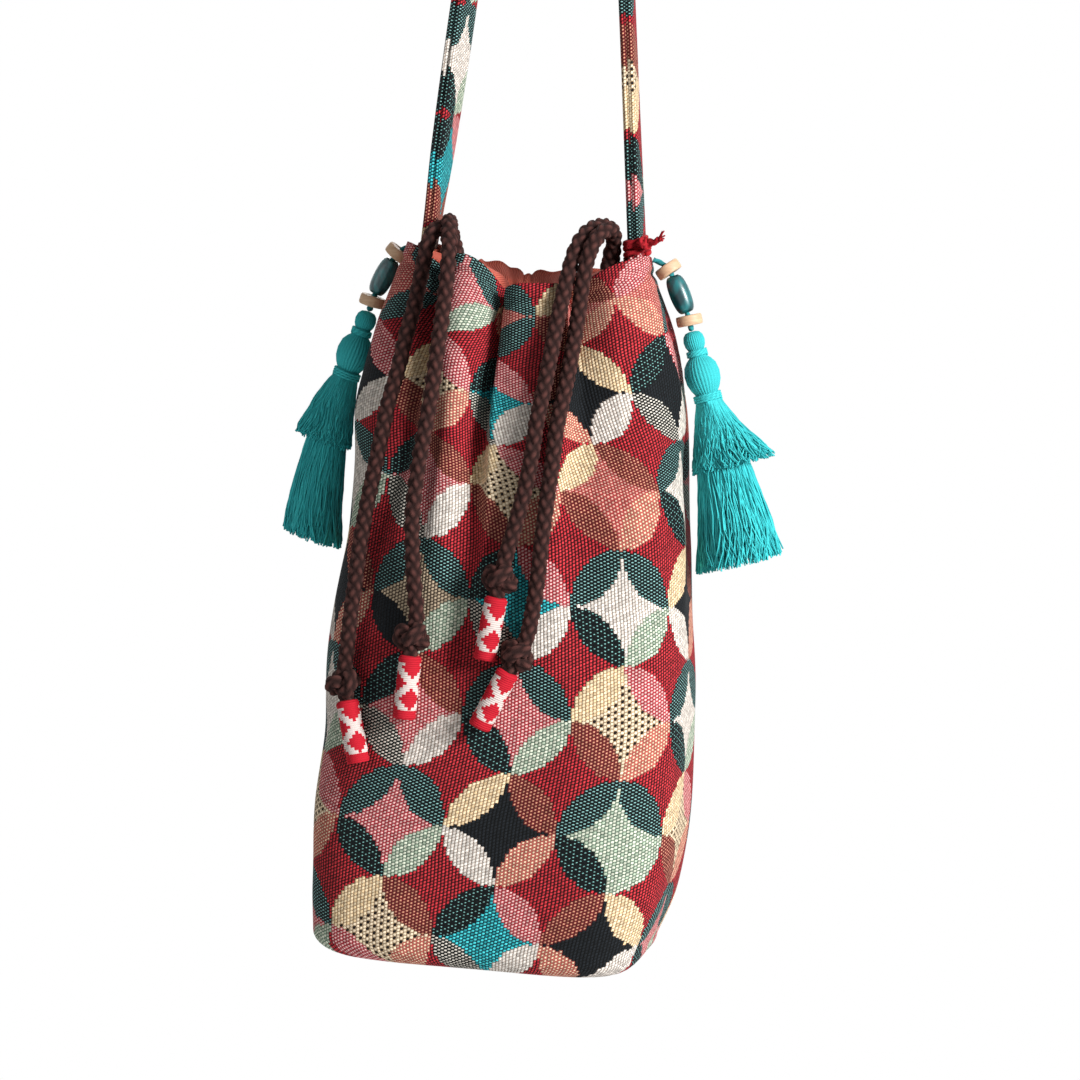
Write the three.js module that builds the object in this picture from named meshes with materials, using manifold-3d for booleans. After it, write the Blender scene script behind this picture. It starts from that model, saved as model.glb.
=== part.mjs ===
// A drawstring bucket bag that hangs by its shoulder strap: a lined jacquard bag with a gathered mouth,
// two drawstrings with knotted ends and woven tips, and a beaded two-tier tassel at each side seam.
// Millimetres, +Z up, -Y to the front. The origin is the hang point, under the top of the strap.
import * as THREE from "three";
import { ParametricGeometry } from "three/addons/geometries/ParametricGeometry.js";
import { mergeVertices } from "three/addons/utils/BufferGeometryUtils.js";
import Module from "manifold-3d";

const wasm = await Module();
wasm.setup();

// Bag
const BAG_HEIGHT = 277; // base to rim, at the side seams
const BODY_HALF_WIDTH = 72;
const BODY_HALF_DEPTH = 46.5;
const MOUTH_HALF_WIDTH = 47;
const MOUTH_HALF_DEPTH = 29;
const BODY_SQUARE = 3; // exponent of the cross-section: 2 is an ellipse
const MOUTH_SQUARE = 2.2;
const BASE_ROUND = 12; // radius of the bottom edge
const CLOTH = 1.2; // jacquard
const LINING = 0.8; // lining cloth
const LINING_EASE = 0.9; // the lining hangs this far inside the wall
const RIM_SAG = 11; // dip of the rim between the strap's ends
const FOLD_DEPTH = 4; // half the depth of a gathered fold
const SEAM_FLAT = 0.4; // share of the fold's depth that a side seam takes away
const PUCKER = 1.5; // half the depth of the lining's folds at the casing

// Casing for the drawstrings
const CASING_TOP = 6; // below the rim
const CASING_BOTTOM = 20;
const CASING_STITCH = 6; // from the casing's bottom down to where the lining is sewn to the wall
const CASING_ROOM = 8; // between the wall and the lining, where a fold is narrowest
const LINING_EDGE = 1.5; // the lining's top edge, below the rim
const SLOT_WIDTH = 22; // cord exit in the lining
const SLOT_HEIGHT = 14;

// Drawstrings
const CORD_DIAMETER = 5.4;
const CORD_LEVELS = { left: 16.5, right: 9.5 }; // of the run in the casing, below the rim
const CORD_OPENING = 0.06; // share of the way round that a run stops short of its exit
const KNOT_RADIUS = 5.6;
const KNOT_FLATNESS = 0.82;
const KNOT_TO_TIP = 7;
const TIP_LENGTH = 24;
const TIP_WALL = 1.2;
const TIP_FILL = 17; // length of cord inside a tip

// Strap
const STRAP_DROP = 248; // rim to hang point
const STRAP_WIDTH = 20;
const STRAP_THICKNESS = 5.5;
const STRAP_TUCK = 5; // sewn in below the rim
const STRAP_EASE = 1.4; // room for the strap's end between wall and lining
const STRAP_EDGE = 1.6; // rounding of the folded edges
const HOOK_RADIUS = 15; // of what the strap hangs on
const TIE_HEIGHT = 6.5;
const TIE_YARN = 1.9;
const TIE_LIFT = 0.6; // above the rim
const TIE_KNOT = 3;
const TIE_TAIL = 9;

// Tassels
const STRING_DIAMETER = 2.2;
const STRING_EXIT = 2; // below the rim
const STRING_LEAD = 5; // from the seam to the first bead
const BORE_CLEARANCE = 0.5;
const BEAD_GAP = 1;
const DISC_DIAMETER = 10;
const DISC_THICKNESS = 4;
const OVAL_LENGTH = 15;
const OVAL_DIAMETER = 8;
const HEAD_DIAMETER = 8;
const HEAD_HEIGHT = 7.2;
const BALL_DIAMETER = 13.4;
const BALL_HEIGHT = 14;
const UPPER_NECK = { length: 2.6, diameter: 5.6 };
const LOWER_NECK = { length: 3.6, diameter: 8.4 };
const BINDING_YARN = 1.1;
const SKIRT_LENGTH = 62;
const SKIRT_HEM = 33; // diameter
const TIER_LENGTH = 25;
const TIER_YARN = 1.6;
const TIER_FLARE = 8.5; // how far the upper tier stands out, on the side away from the bag
const SKIRT_FLUTES = 12;
const FLUTE_DEPTH = 0.5;
const LEAD_TILT = 70; // degrees from straight down, outwards
const BEAD_TILTS = [38, 25, 15];
const TASSEL_TILT = 17;

const GAP = 0.3; // between pieces that touch

const ROUND_STEPS = 64; // around the bag
const TURNED_STEPS = 16; // around beads and bindings

const RADIAN = Math.PI / 180;
const HANG_HEIGHT = BAG_HEIGHT + STRAP_DROP;

const materials = {
  jacquard: cloth("#97433a"),
  lining: cloth("#d2685a"),
  strap: cloth("#42645c"),
  tieYarn: cloth("#bb2f2c"),
  cord: cloth("#3d2620"),
  ribbon: cloth("#c23a34"),
  wood: new THREE.MeshStandardMaterial({ color: "#cfa06c", roughness: 0.6, metalness: 0 }),
  tealBead: new THREE.MeshStandardMaterial({ color: "#17716d", roughness: 0.25, metalness: 0 }),
  tasselYarn: cloth("#4bb5b3"),
};

function cloth(color) {
  return new THREE.MeshStandardMaterial({ color, roughness: 0.9, metalness: 0 });
}

// The bag is modelled up from its base and lowered so that the hang point is the origin.
const part = new THREE.Group();
const bag = new THREE.Group();
bag.position.z = -HANG_HEIGHT;
part.add(bag);

function addPiece(name, geometry, material, parent = bag) {
  const mesh = new THREE.Mesh(geometry, material);
  mesh.name = name;
  parent.add(mesh);
  return mesh;
}

// Joins and cuts

function solidOf(geometry) {
  const bare = geometry.clone();
  bare.deleteAttribute("normal");
  bare.deleteAttribute("uv");
  const merged = mergeVertices(bare, 1e-4);
  return new wasm.Manifold(
    new wasm.Mesh({
      numProp: 3,
      vertProperties: new Float32Array(merged.attributes.position.array),
      triVerts: new Uint32Array(merged.index.array),
    }),
  );
}

function geometryOf(solid) {
  const mesh = solid.getMesh();
  const geometry = new THREE.BufferGeometry();
  geometry.setAttribute("position", new THREE.BufferAttribute(mesh.vertProperties, mesh.numProp));
  geometry.setIndex(new THREE.BufferAttribute(mesh.triVerts, 1));
  geometry.computeVertexNormals();
  return geometry;
}

function joined(...geometries) {
  return geometryOf(geometries.map(solidOf).reduce((whole, piece) => whole.add(piece)));
}

// The gathered wall

// Rings of the wall from the bottom up: how far each has filled out from mouth to belly, how gathered it is.
const wallRings = [
  { z: BASE_ROUND, fullness: 0.84, gather: 0 },
  { z: 60, fullness: 1, gather: 0 },
  { z: 142, fullness: 0.88, gather: 0 },
  { z: BAG_HEIGHT - 100, fullness: 0.81, gather: 0.08 },
  { z: BAG_HEIGHT - 62, fullness: 0.71, gather: 0.36 },
  { z: BAG_HEIGHT - 46, fullness: 0.58, gather: 0.6 },
  { z: BAG_HEIGHT - 31, fullness: 0.42, gather: 0.85 },
  { z: BAG_HEIGHT - 19, fullness: 0.26, gather: 1 },
  { z: BAG_HEIGHT - 9, fullness: 0.12, gather: 1 },
  { z: BAG_HEIGHT, fullness: 0, gather: 1 },
];

// Where the folds stand out furthest, as shares of the way round from the left seam across the front.
const foldRidges = [0.09, 0.18, 0.2625, 0.41, 0.59, 0.66, 0.74, 0.82, 0.91];

function foldWave(share) {
  const around = share % 1;
  const ridges = [foldRidges.at(-1) - 1, ...foldRidges, foldRidges[0] + 1];
  const next = ridges.findIndex((ridge) => ridge > around);
  const pitch = ridges[next] - ridges[next - 1];
  const seam = Math.cos(2 * Math.PI * around) ** 8;
  return Math.cos((2 * Math.PI * (around - ridges[next - 1])) / pitch) * (1 - SEAM_FLAT * seam);
}

// The wall's ring at any height, in between the rings above.
function wallAt(z, extra = {}) {
  const above = wallRings.findIndex((ring) => ring.z >= z);
  const upper = wallRings[above < 0 ? wallRings.length - 1 : Math.max(above, 1)];
  const lower = wallRings[wallRings.indexOf(upper) - 1];
  const way = THREE.MathUtils.clamp((z - lower.z) / (upper.z - lower.z), 0, 1);
  const fullness = THREE.MathUtils.lerp(lower.fullness, upper.fullness, way);
  const gather = THREE.MathUtils.lerp(lower.gather, upper.gather, way);
  return { z, fullness, gather, ...extra };
}

// A point of a ring. inset is how far inside the wall's face it lies, follow how far it goes with the folds.
function wallPoint(share, ring, target = new THREE.Vector3()) {
  const { inset = 0, follow = 1, spread = 1, strapPocket = 0 } = ring;
  const cos = Math.cos(2 * Math.PI * share);
  const sin = Math.sin(2 * Math.PI * share);
  const square = THREE.MathUtils.lerp(BODY_SQUARE, MOUTH_SQUARE, ring.gather);
  const reach = (Math.abs(cos) ** square + Math.abs(sin) ** square) ** (-1 / square);
  const depthIn = inset + strapPocket * besideStrap(sin);
  const halfWidth = THREE.MathUtils.lerp(MOUTH_HALF_WIDTH, BODY_HALF_WIDTH, ring.fullness) - depthIn;
  const halfDepth = THREE.MathUtils.lerp(MOUTH_HALF_DEPTH, BODY_HALF_DEPTH, ring.fullness) - inset;
  target.set(-halfWidth * cos, -halfDepth * sin, 0).multiplyScalar(reach * spread);
  if (ring.gather > 0) {
    const fold = FOLD_DEPTH * ring.gather * follow * foldWave(share);
    target.multiplyScalar(1 + fold / target.length());
  }
  target.z = ring.z - RIM_SAG * ring.gather * sin ** 2;
  return target;
}

// 1 across the strap's width at a side seam, 0 further round.
function besideStrap(sin) {
  const edge = (STRAP_WIDTH / 2 + STRAP_EDGE) / MOUTH_HALF_DEPTH;
  return 1 - THREE.MathUtils.smoothstep(Math.abs(sin), edge, edge * 1.5);
}

// A closed cup through a list of rings, from the middle of its underside, up, over and down inside.
function cup(rings) {
  const last = rings.length - 1;
  const place = (share, along, target) => wallPoint(share, rings[Math.round(along * last)], target);
  return new ParametricGeometry(place, ROUND_STEPS, last);
}

// One face of a cup's rounded bottom, from the middle out, inset from the bag's outer face.
function bottomRings(inset) {
  const { fullness } = wallRings[0];
  const diagonal = (BASE_ROUND - inset) * Math.SQRT1_2;
  const corner = BASE_ROUND - diagonal;
  return [
    { z: inset, fullness, gather: 0, spread: 0 },
    { z: inset, fullness, gather: 0, inset: BASE_ROUND },
    { z: corner, fullness, gather: 0, inset: corner },
  ];
}

function bagShell() {
  const outside = [...bottomRings(0), ...wallRings];
  const rim = wallAt(BAG_HEIGHT, { z: BAG_HEIGHT + CLOTH / 2, inset: CLOTH / 2 });
  const inside = [...bottomRings(CLOTH), ...wallRings.map((ring) => ({ ...ring, inset: CLOTH }))];
  return cup([...outside, rim, ...inside.reverse()]);
}

// The lining lies against the wall, and stands off it at the casing.
const liningInset = CLOTH + LINING_EASE;
const casingInset = CLOTH + FOLD_DEPTH + CASING_ROOM + PUCKER;
const casingFollow = -PUCKER / FOLD_DEPTH;
const stitchHeight = BAG_HEIGHT - CASING_BOTTOM - CASING_STITCH;

function liningFace(offset) {
  const inset = liningInset + offset;
  const casing = { inset: casingInset + offset, follow: casingFollow };
  const pocket = { inset, strapPocket: STRAP_THICKNESS + STRAP_EASE };
  return [
    ...bottomRings(inset),
    ...wallRings.filter((ring) => ring.z < stitchHeight).map((ring) => ({ ...ring, inset })),
    wallAt(stitchHeight, { inset }),
    wallAt(BAG_HEIGHT - CASING_BOTTOM, casing),
    wallAt(BAG_HEIGHT - CASING_TOP, casing),
    wallAt(BAG_HEIGHT - LINING_EDGE, pocket),
  ];
}

// The cord exits are slots in the lining at both side seams.
const slotHeight = BAG_HEIGHT - (CASING_TOP + CASING_BOTTOM) / 2;

function exitSlot(side) {
  const round = SLOT_HEIGHT / 2;
  const straight = SLOT_WIDTH / 2 - round;
  const outline = new THREE.Shape();
  outline.absarc(straight, 0, round, -Math.PI / 2, Math.PI / 2);
  outline.absarc(-straight, 0, round, Math.PI / 2, (3 * Math.PI) / 2);
  const depth = 2 * (CASING_ROOM + PUCKER);
  const ring = wallAt(slotHeight, { inset: casingInset, follow: casingFollow });
  const middle = wallPoint(side < 0 ? 0 : 0.5, ring);
  const slot = new THREE.ExtrudeGeometry(outline, { depth, bevelEnabled: false, curveSegments: 6 });
  slot.translate(0, 0, -depth / 2);
  slot.rotateX(Math.PI / 2);
  slot.rotateZ(Math.PI / 2);
  slot.translate(middle.x, 0, slotHeight);
  return slot;
}

function lining() {
  const whole = solidOf(cup([...liningFace(0), ...liningFace(LINING).reverse()]));
  return geometryOf(whole.subtract(solidOf(exitSlot(-1))).subtract(solidOf(exitSlot(1))));
}

addPiece("bag_shell", bagShell(), materials.jacquard);
addPiece("lining", lining(), materials.lining);

// Drawstrings

function roundSection(diameter, sides) {
  const outline = new THREE.Shape();
  for (let i = 0; i < sides; i++) {
    const angle = (2 * Math.PI * i) / sides;
    const [x, y] = [(diameter / 2) * Math.cos(angle), (diameter / 2) * Math.sin(angle)];
    if (i === 0) outline.moveTo(x, y);
    else outline.lineTo(x, y);
  }
  return outline;
}

function tube(points, diameter, sides, steps) {
  const extrudePath = new THREE.CatmullRomCurve3(points, false, "centripetal");
  const section = roundSection(diameter, sides);
  return new THREE.ExtrudeGeometry(section, { steps, bevelEnabled: false, extrudePath });
}

const cordSides = 8;

// A drawstring's run through the casing goes once round, and starts and ends beside its own exit.
function casingRun(side, level) {
  const inset = CLOTH + FOLD_DEPTH + CASING_ROOM / 2;
  const ring = wallAt(BAG_HEIGHT - level, { inset, follow: 0 });
  const start = (side < 0 ? 0 : 0.5) + CORD_OPENING;
  const pointCount = 28;
  const points = [];
  for (let i = 0; i <= pointCount; i++) {
    points.push(wallPoint(start + ((1 - 2 * CORD_OPENING) * i) / pointCount, ring));
  }
  return tube(points, CORD_DIAMETER, cordSides, pointCount);
}

addPiece("left_casing_cord", casingRun(-1, CORD_LEVELS.left), materials.cord);
addPiece("right_casing_cord", casingRun(1, CORD_LEVELS.right), materials.cord);

// Each free end: its route from the casing out of the mouth and down the front to the middle of its knot,
// measured up from the bag's base, and the way its tip hangs.
const freeEnds = {
  left_outer: {
    route: [
      [-39.8, -4.2, 260],
      [-36.6, -3.5, 261.2],
      [-32, -3, 264.2],
      [-28.7, -3.05, 269.5],
      [-29.8, -4.6, 275.5],
      [-31.4, -8.6, 280.6],
      [-33.4, -13.5, 283],
      [-35, -18.5, 281.8],
      [-36.4, -22.4, 277],
      [-37.2, -24, 270.5],
      [-38.2, -25.2, 262.5],
      [-39.4, -27, 253.5],
      [-41.4, -30.4, 242],
      [-43, -34.6, 229],
      [-45.2, -37.2, 218],
      [-46.8, -38.8, 206.5],
      [-48.6, -39.4, 194.5],
      [-50.5, -39.5, 183],
      [-52.2, -39.5, 171.5],
      [-53.4, -39.8, 161],
      [-54.2, -40.2, 149],
      [-55.4, -40.2, 136],
      [-56, -41.2, 122],
      [-56.2, -43.2, 110.6],
    ],
    hang: [0.256, -0.1, -0.96],
  },
  left_inner: {
    route: [
      [-39.8, 4.2, 260],
      [-36.6, 3.5, 261.2],
      [-32, 3, 264.2],
      [-28.7, 3.05, 269.5],
      [-28, 2.4, 276],
      [-27.6, -1, 282],
      [-28.2, -6.8, 286.2],
      [-29, -13, 287.3],
      [-28.8, -19.5, 285],
      [-27.6, -26, 279.5],
      [-26.4, -31.2, 272.8],
      [-25.9, -34.4, 265.5],
      [-26.1, -35.6, 258.5],
      [-26.4, -37, 252],
      [-26.6, -40.2, 243],
      [-27.3, -42.4, 230.5],
      [-28.2, -44.4, 217],
      [-29.9, -45.4, 203.5],
      [-31.8, -45.6, 186],
      [-32.3, -45.8, 173],
      [-31.3, -46.3, 160],
      [-29.7, -46.9, 147],
      [-28.4, -47.9, 138],
      [-29.2, -49.6, 130.6],
    ],
    hang: [-0.05, -0.02, -1],
  },
  right_inner: {
    route: [
      [37.6, 3.6, 265.4],
      [34.5, 3.3, 265.9],
      [30.4, 3.1, 268.5],
      [28.8, 3.1, 273.5],
      [28.4, 1.6, 279],
      [27.4, -2, 284],
      [26, -7.5, 287.4],
      [24.4, -13, 288],
      [22.8, -18.5, 286.6],
      [21.2, -24.3, 282.3],
      [20, -29, 275.8],
      [19.2, -31.8, 268],
      [18.4, -34, 260],
      [17.2, -37.4, 250],
      [16.3, -40.6, 240],
      [14.8, -44, 226],
      [13.2, -46.2, 214],
      [12.2, -46.9, 202.5],
      [10.6, -47.3, 190.5],
      [7.2, -47.8, 174.5],
      [4.6, -48.6, 163.5],
      [3.2, -50.2, 155],
    ],
    hang: [-0.139, -0.02, -0.99],
  },
  right_outer: {
    route: [
      [37.6, -3.6, 265.4],
      [34.5, -3.3, 265.9],
      [30.4, -3.1, 268.5],
      [28.9, -3.4, 273.5],
      [30, -6, 279.5],
      [30.8, -10.5, 284.6],
      [30.2, -15.5, 287.2],
      [28.6, -21, 286.4],
      [27, -26.4, 282],
      [25.9, -29.8, 275],
      [25.2, -30.8, 267],
      [24.6, -31.6, 258],
      [23.9, -34.2, 247],
      [23.3, -38.2, 236.5],
      [22.3, -41.8, 226],
      [20.6, -45, 212],
      [20.1, -45.8, 202.5],
      [18.9, -46.7, 187.5],
      [17.7, -47.4, 171],
      [16.9, -47.9, 155],
      [15.6, -48.4, 142.5],
      [14.2, -49.3, 133.5],
      [11.2, -50.8, 126.9],
    ],
    hang: [-0.417, -0.02, -0.908],
  },
};

const tipBore = CORD_DIAMETER / 2 + GAP;

// Turns a piece that points down its own axis to point along a direction.
function aimed(geometry, direction, place) {
  const turn = new THREE.Quaternion().setFromUnitVectors(new THREE.Vector3(0, 0, -1), direction);
  geometry.applyQuaternion(turn);
  return geometry.translate(place.x, place.y, place.z);
}

function turned(profile, steps = TURNED_STEPS) {
  const points = profile.map(([radius, height]) => new THREE.Vector2(radius, height));
  return new THREE.LatheGeometry(points, steps).rotateX(Math.PI / 2);
}

function tipSleeve() {
  const outside = tipBore + TIP_WALL;
  return turned([
    [tipBore, -TIP_LENGTH],
    [outside, -TIP_LENGTH],
    [outside, 0],
    [tipBore, 0],
    [tipBore, -TIP_LENGTH],
  ]);
}

for (const [name, { route, hang }] of Object.entries(freeEnds)) {
  const points = route.map((point) => new THREE.Vector3(...point));
  const down = new THREE.Vector3(...hang).normalize();
  const knotPlace = points.at(-1);
  const tipTop = knotPlace.clone().addScaledVector(down, KNOT_TO_TIP);
  const cordEnd = tipTop.clone().addScaledVector(down, TIP_FILL);
  const cord = tube([...points, tipTop, cordEnd], CORD_DIAMETER, cordSides, points.length + 4);
  const knot = new THREE.SphereGeometry(KNOT_RADIUS, 10, 6).scale(1, KNOT_FLATNESS, KNOT_FLATNESS);
  knot.translate(knotPlace.x, knotPlace.y, knotPlace.z);
  addPiece(`${name}_cord`, joined(cord, knot), materials.cord);
  addPiece(`${name}_tip`, aimed(tipSleeve(), down, tipTop), materials.ribbon);
}

// Strap

// The strap's ends stand between the wall and the lining, as far out as the wall lets their flat width go.
function strapSeat() {
  const ring = wallAt(BAG_HEIGHT, { inset: CLOTH });
  const halfWidth = STRAP_WIDTH / 2;
  let seat = Infinity;
  for (let share = 0.4; share <= 0.6; share += 0.005) {
    const point = wallPoint(share, ring);
    if (Math.abs(point.y) <= halfWidth) seat = Math.min(seat, point.x);
  }
  return seat - GAP;
}

const foot = new THREE.Vector2(strapSeat() - STRAP_THICKNESS / 2, BAG_HEIGHT);
const hook = new THREE.Vector2(0, HANG_HEIGHT - HOOK_RADIUS);
const archRadius = HOOK_RADIUS + STRAP_THICKNESS / 2;
const footToHook = foot.clone().sub(hook);
// The angle at the hook's centre where the right leg meets the arch.
const legAngle = footToHook.angle() - 2 * Math.PI + Math.acos(archRadius / footToHook.length());
const legNormal = new THREE.Vector2(Math.cos(legAngle), Math.sin(legAngle));
const legDown = new THREE.Vector2(Math.sin(legAngle), -Math.cos(legAngle));

function strap() {
  const end = foot.clone().addScaledVector(legDown, STRAP_TUCK);
  const outer = end.clone().addScaledVector(legNormal, STRAP_THICKNESS / 2);
  const inner = end.clone().addScaledVector(legNormal, -STRAP_THICKNESS / 2);
  const outline = new THREE.Shape();
  outline.moveTo(inner.x, inner.y);
  outline.lineTo(outer.x, outer.y);
  outline.absarc(hook.x, hook.y, HOOK_RADIUS + STRAP_THICKNESS, legAngle, Math.PI - legAngle, false);
  outline.lineTo(-outer.x, outer.y);
  outline.lineTo(-inner.x, inner.y);
  outline.absarc(hook.x, hook.y, HOOK_RADIUS, Math.PI - legAngle, legAngle, true);
  const band = new THREE.ExtrudeGeometry(outline, {
    depth: STRAP_WIDTH - 2 * STRAP_EDGE,
    bevelThickness: STRAP_EDGE,
    bevelSize: STRAP_EDGE,
    bevelOffset: -STRAP_EDGE,
    bevelSegments: 1,
    curveSegments: 14,
  });
  band.translate(0, 0, STRAP_EDGE - STRAP_WIDTH / 2);
  return band.rotateX(Math.PI / 2);
}

addPiece("shoulder_strap", strap(), materials.strap);

// A rectangle with round corners, about its middle.
function roundedOutline(Outline, width, depth, round) {
  const x = width / 2 - round;
  const y = depth / 2 - round;
  const outline = new Outline();
  outline.absarc(x, y, round, 0, Math.PI / 2);
  outline.absarc(-x, y, round, Math.PI / 2, Math.PI);
  outline.absarc(-x, -y, round, Math.PI, (3 * Math.PI) / 2);
  outline.absarc(x, -y, round, (3 * Math.PI) / 2, 2 * Math.PI);
  return outline;
}

// Red yarn wound round the foot of the right leg, with a knot and a short tail at the front.
function strapTie() {
  const inner = [STRAP_THICKNESS + 2 * GAP, STRAP_WIDTH + 2 * GAP];
  const outer = inner.map((size) => size + 2 * TIE_YARN);
  const outline = roundedOutline(THREE.Shape, ...outer, STRAP_EDGE + TIE_YARN);
  outline.holes.push(roundedOutline(THREE.Path, ...inner, STRAP_EDGE));
  const windings = { depth: TIE_HEIGHT, bevelEnabled: false, curveSegments: 4 };
  const wound = new THREE.ExtrudeGeometry(outline, windings);
  const front = -(STRAP_WIDTH / 2 + GAP + TIE_KNOT);
  const knot = new THREE.SphereGeometry(TIE_KNOT, 10, 8).translate(0, front, TIE_HEIGHT / 2);
  const tail = tube(
    [
      new THREE.Vector3(0, front, TIE_HEIGHT / 2),
      new THREE.Vector3(TIE_TAIL / 2, front - TIE_KNOT / 2, TIE_HEIGHT / 2 + TIE_KNOT / 2),
      new THREE.Vector3(TIE_TAIL, front - TIE_KNOT / 2, TIE_HEIGHT / 2 + TIE_KNOT),
    ],
    2 * TIE_YARN,
    cordSides,
    4,
  );
  return joined(wound, knot, tail);
}

const tie = addPiece("strap_tie", strapTie(), materials.tieYarn);
const tieRise = TIE_LIFT + TIE_YARN;
tie.position.set(foot.x - legDown.x * tieRise, 0, foot.y - legDown.y * tieRise);
tie.rotation.y = -legAngle;

// Tassels

const stringRadius = STRING_DIAMETER / 2;
const boreRadius = stringRadius + BORE_CLEARANCE;

function discBead() {
  const half = DISC_THICKNESS / 2;
  const round = half / 2;
  const radius = DISC_DIAMETER / 2;
  return turned([
    [boreRadius, -half],
    [radius - round, -half],
    [radius, -half + round],
    [radius, half - round],
    [radius - round, half],
    [boreRadius, half],
    [boreRadius, -half],
  ]);
}

function ovalBead() {
  const rows = 8;
  const end = Math.asin(boreRadius / (OVAL_DIAMETER / 2)) * 1.15;
  const profile = [];
  for (let i = 0; i <= rows; i++) {
    const angle = end + ((Math.PI - 2 * end) * i) / rows;
    const height = (-OVAL_LENGTH / 2) * (Math.cos(angle) / Math.cos(end));
    profile.push([(OVAL_DIAMETER / 2) * Math.sin(angle), height]);
  }
  const bottom = [boreRadius, -OVAL_LENGTH / 2];
  const top = [boreRadius, OVAL_LENGTH / 2];
  return turned([bottom, ...profile, top, bottom]);
}

// Heights down the bundle's axis, from the point it swings about.
const headTop = stringRadius + GAP;
const headBottom = headTop + HEAD_HEIGHT;
const ballTop = headBottom + UPPER_NECK.length;
const ballBottom = ballTop + BALL_HEIGHT;
const skirtTop = ballBottom + LOWER_NECK.length;
const skirtBottom = skirtTop + SKIRT_LENGTH;

// Half a bulge of a bundle between two narrow places, as [radius, height] rows below its top.
function bulge(top, height, radius, firstRadius, lastRadius) {
  const rows = 5;
  const from = Math.asin(firstRadius / radius);
  const to = Math.PI - Math.asin(lastRadius / radius);
  const span = Math.cos(from) - Math.cos(to);
  const profile = [];
  for (let i = 0; i <= rows; i++) {
    const angle = from + ((to - from) * i) / rows;
    profile.push([radius * Math.sin(angle), -top - (height * (Math.cos(from) - Math.cos(angle))) / span]);
  }
  return profile;
}

// The skirt widens quickly under its binding and then more slowly.
function skirtRadius(way) {
  const neck = LOWER_NECK.diameter / 2;
  return neck + (SKIRT_HEM / 2 - neck) * way ** 0.85;
}

// Yarn flutes on a lathe's points, deeper towards the hem.
function fluted(geometry, depthAt) {
  const places = geometry.attributes.position;
  const point = new THREE.Vector3();
  for (let i = 0; i < places.count; i++) {
    point.fromBufferAttribute(places, i);
    const angle = Math.atan2(point.y, point.x);
    const radius = Math.hypot(point.x, point.y);
    const flute = point.z < -skirtTop ? FLUTE_DEPTH * Math.cos(SKIRT_FLUTES * angle) : 0;
    const scale = 1 + (depthAt(point.z, angle) + flute) / radius;
    if (radius > stringRadius) places.setXYZ(i, point.x * scale, point.y * scale, point.z);
  }
  return geometry;
}

function bundle() {
  const rows = 5;
  const skirt = [];
  for (let i = 1; i <= rows; i++) {
    skirt.push([skirtRadius(i / rows), -skirtTop - (SKIRT_LENGTH * i) / rows]);
  }
  const profile = [
    ...bulge(headTop, HEAD_HEIGHT, HEAD_DIAMETER / 2, 0, UPPER_NECK.diameter / 2),
    ...bulge(ballTop, BALL_HEIGHT, BALL_DIAMETER / 2, UPPER_NECK.diameter / 2, LOWER_NECK.diameter / 2),
    [LOWER_NECK.diameter / 2, -skirtTop],
    ...skirt,
    [0, -skirtBottom],
  ];
  return fluted(turned(profile.reverse(), 2 * SKIRT_FLUTES), () => 0);
}

// The upper tier hugs the skirt next to the bag and stands out on the other side.
function upperTier(side) {
  const rows = 4;
  const outside = [];
  const inside = [];
  for (let i = 0; i <= rows; i++) {
    const height = -skirtTop - GAP - (TIER_LENGTH * i) / rows;
    const radius = skirtRadius((-height - skirtTop) / SKIRT_LENGTH) + 2 * GAP;
    inside.push([radius, height]);
    outside.push([radius + TIER_YARN, height]);
  }
  const profile = [...inside, ...outside.reverse(), inside[0]];
  const flare = (height, angle) => {
    const way = THREE.MathUtils.clamp((-height - skirtTop) / TIER_LENGTH, 0, 1);
    return (TIER_FLARE * way * (1 + side * Math.cos(angle))) / 2;
  };
  return fluted(turned(profile, 2 * SKIRT_FLUTES), flare);
}

// Yarn wound round a neck, rounded outside.
function binding(top, neck) {
  const inner = neck.diameter / 2 + GAP;
  const outer = inner + BINDING_YARN;
  const from = top + GAP;
  const to = top + neck.length - GAP;
  return turned([
    [inner, -to],
    [outer - BINDING_YARN / 2, -to],
    [outer, -(2 * to + from) / 3],
    [outer, -(to + 2 * from) / 3],
    [outer - BINDING_YARN / 2, -from],
    [inner, -from],
    [inner, -to],
  ]);
}

function roundEnd() {
  return new THREE.SphereGeometry(stringRadius, 6, 4);
}

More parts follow.
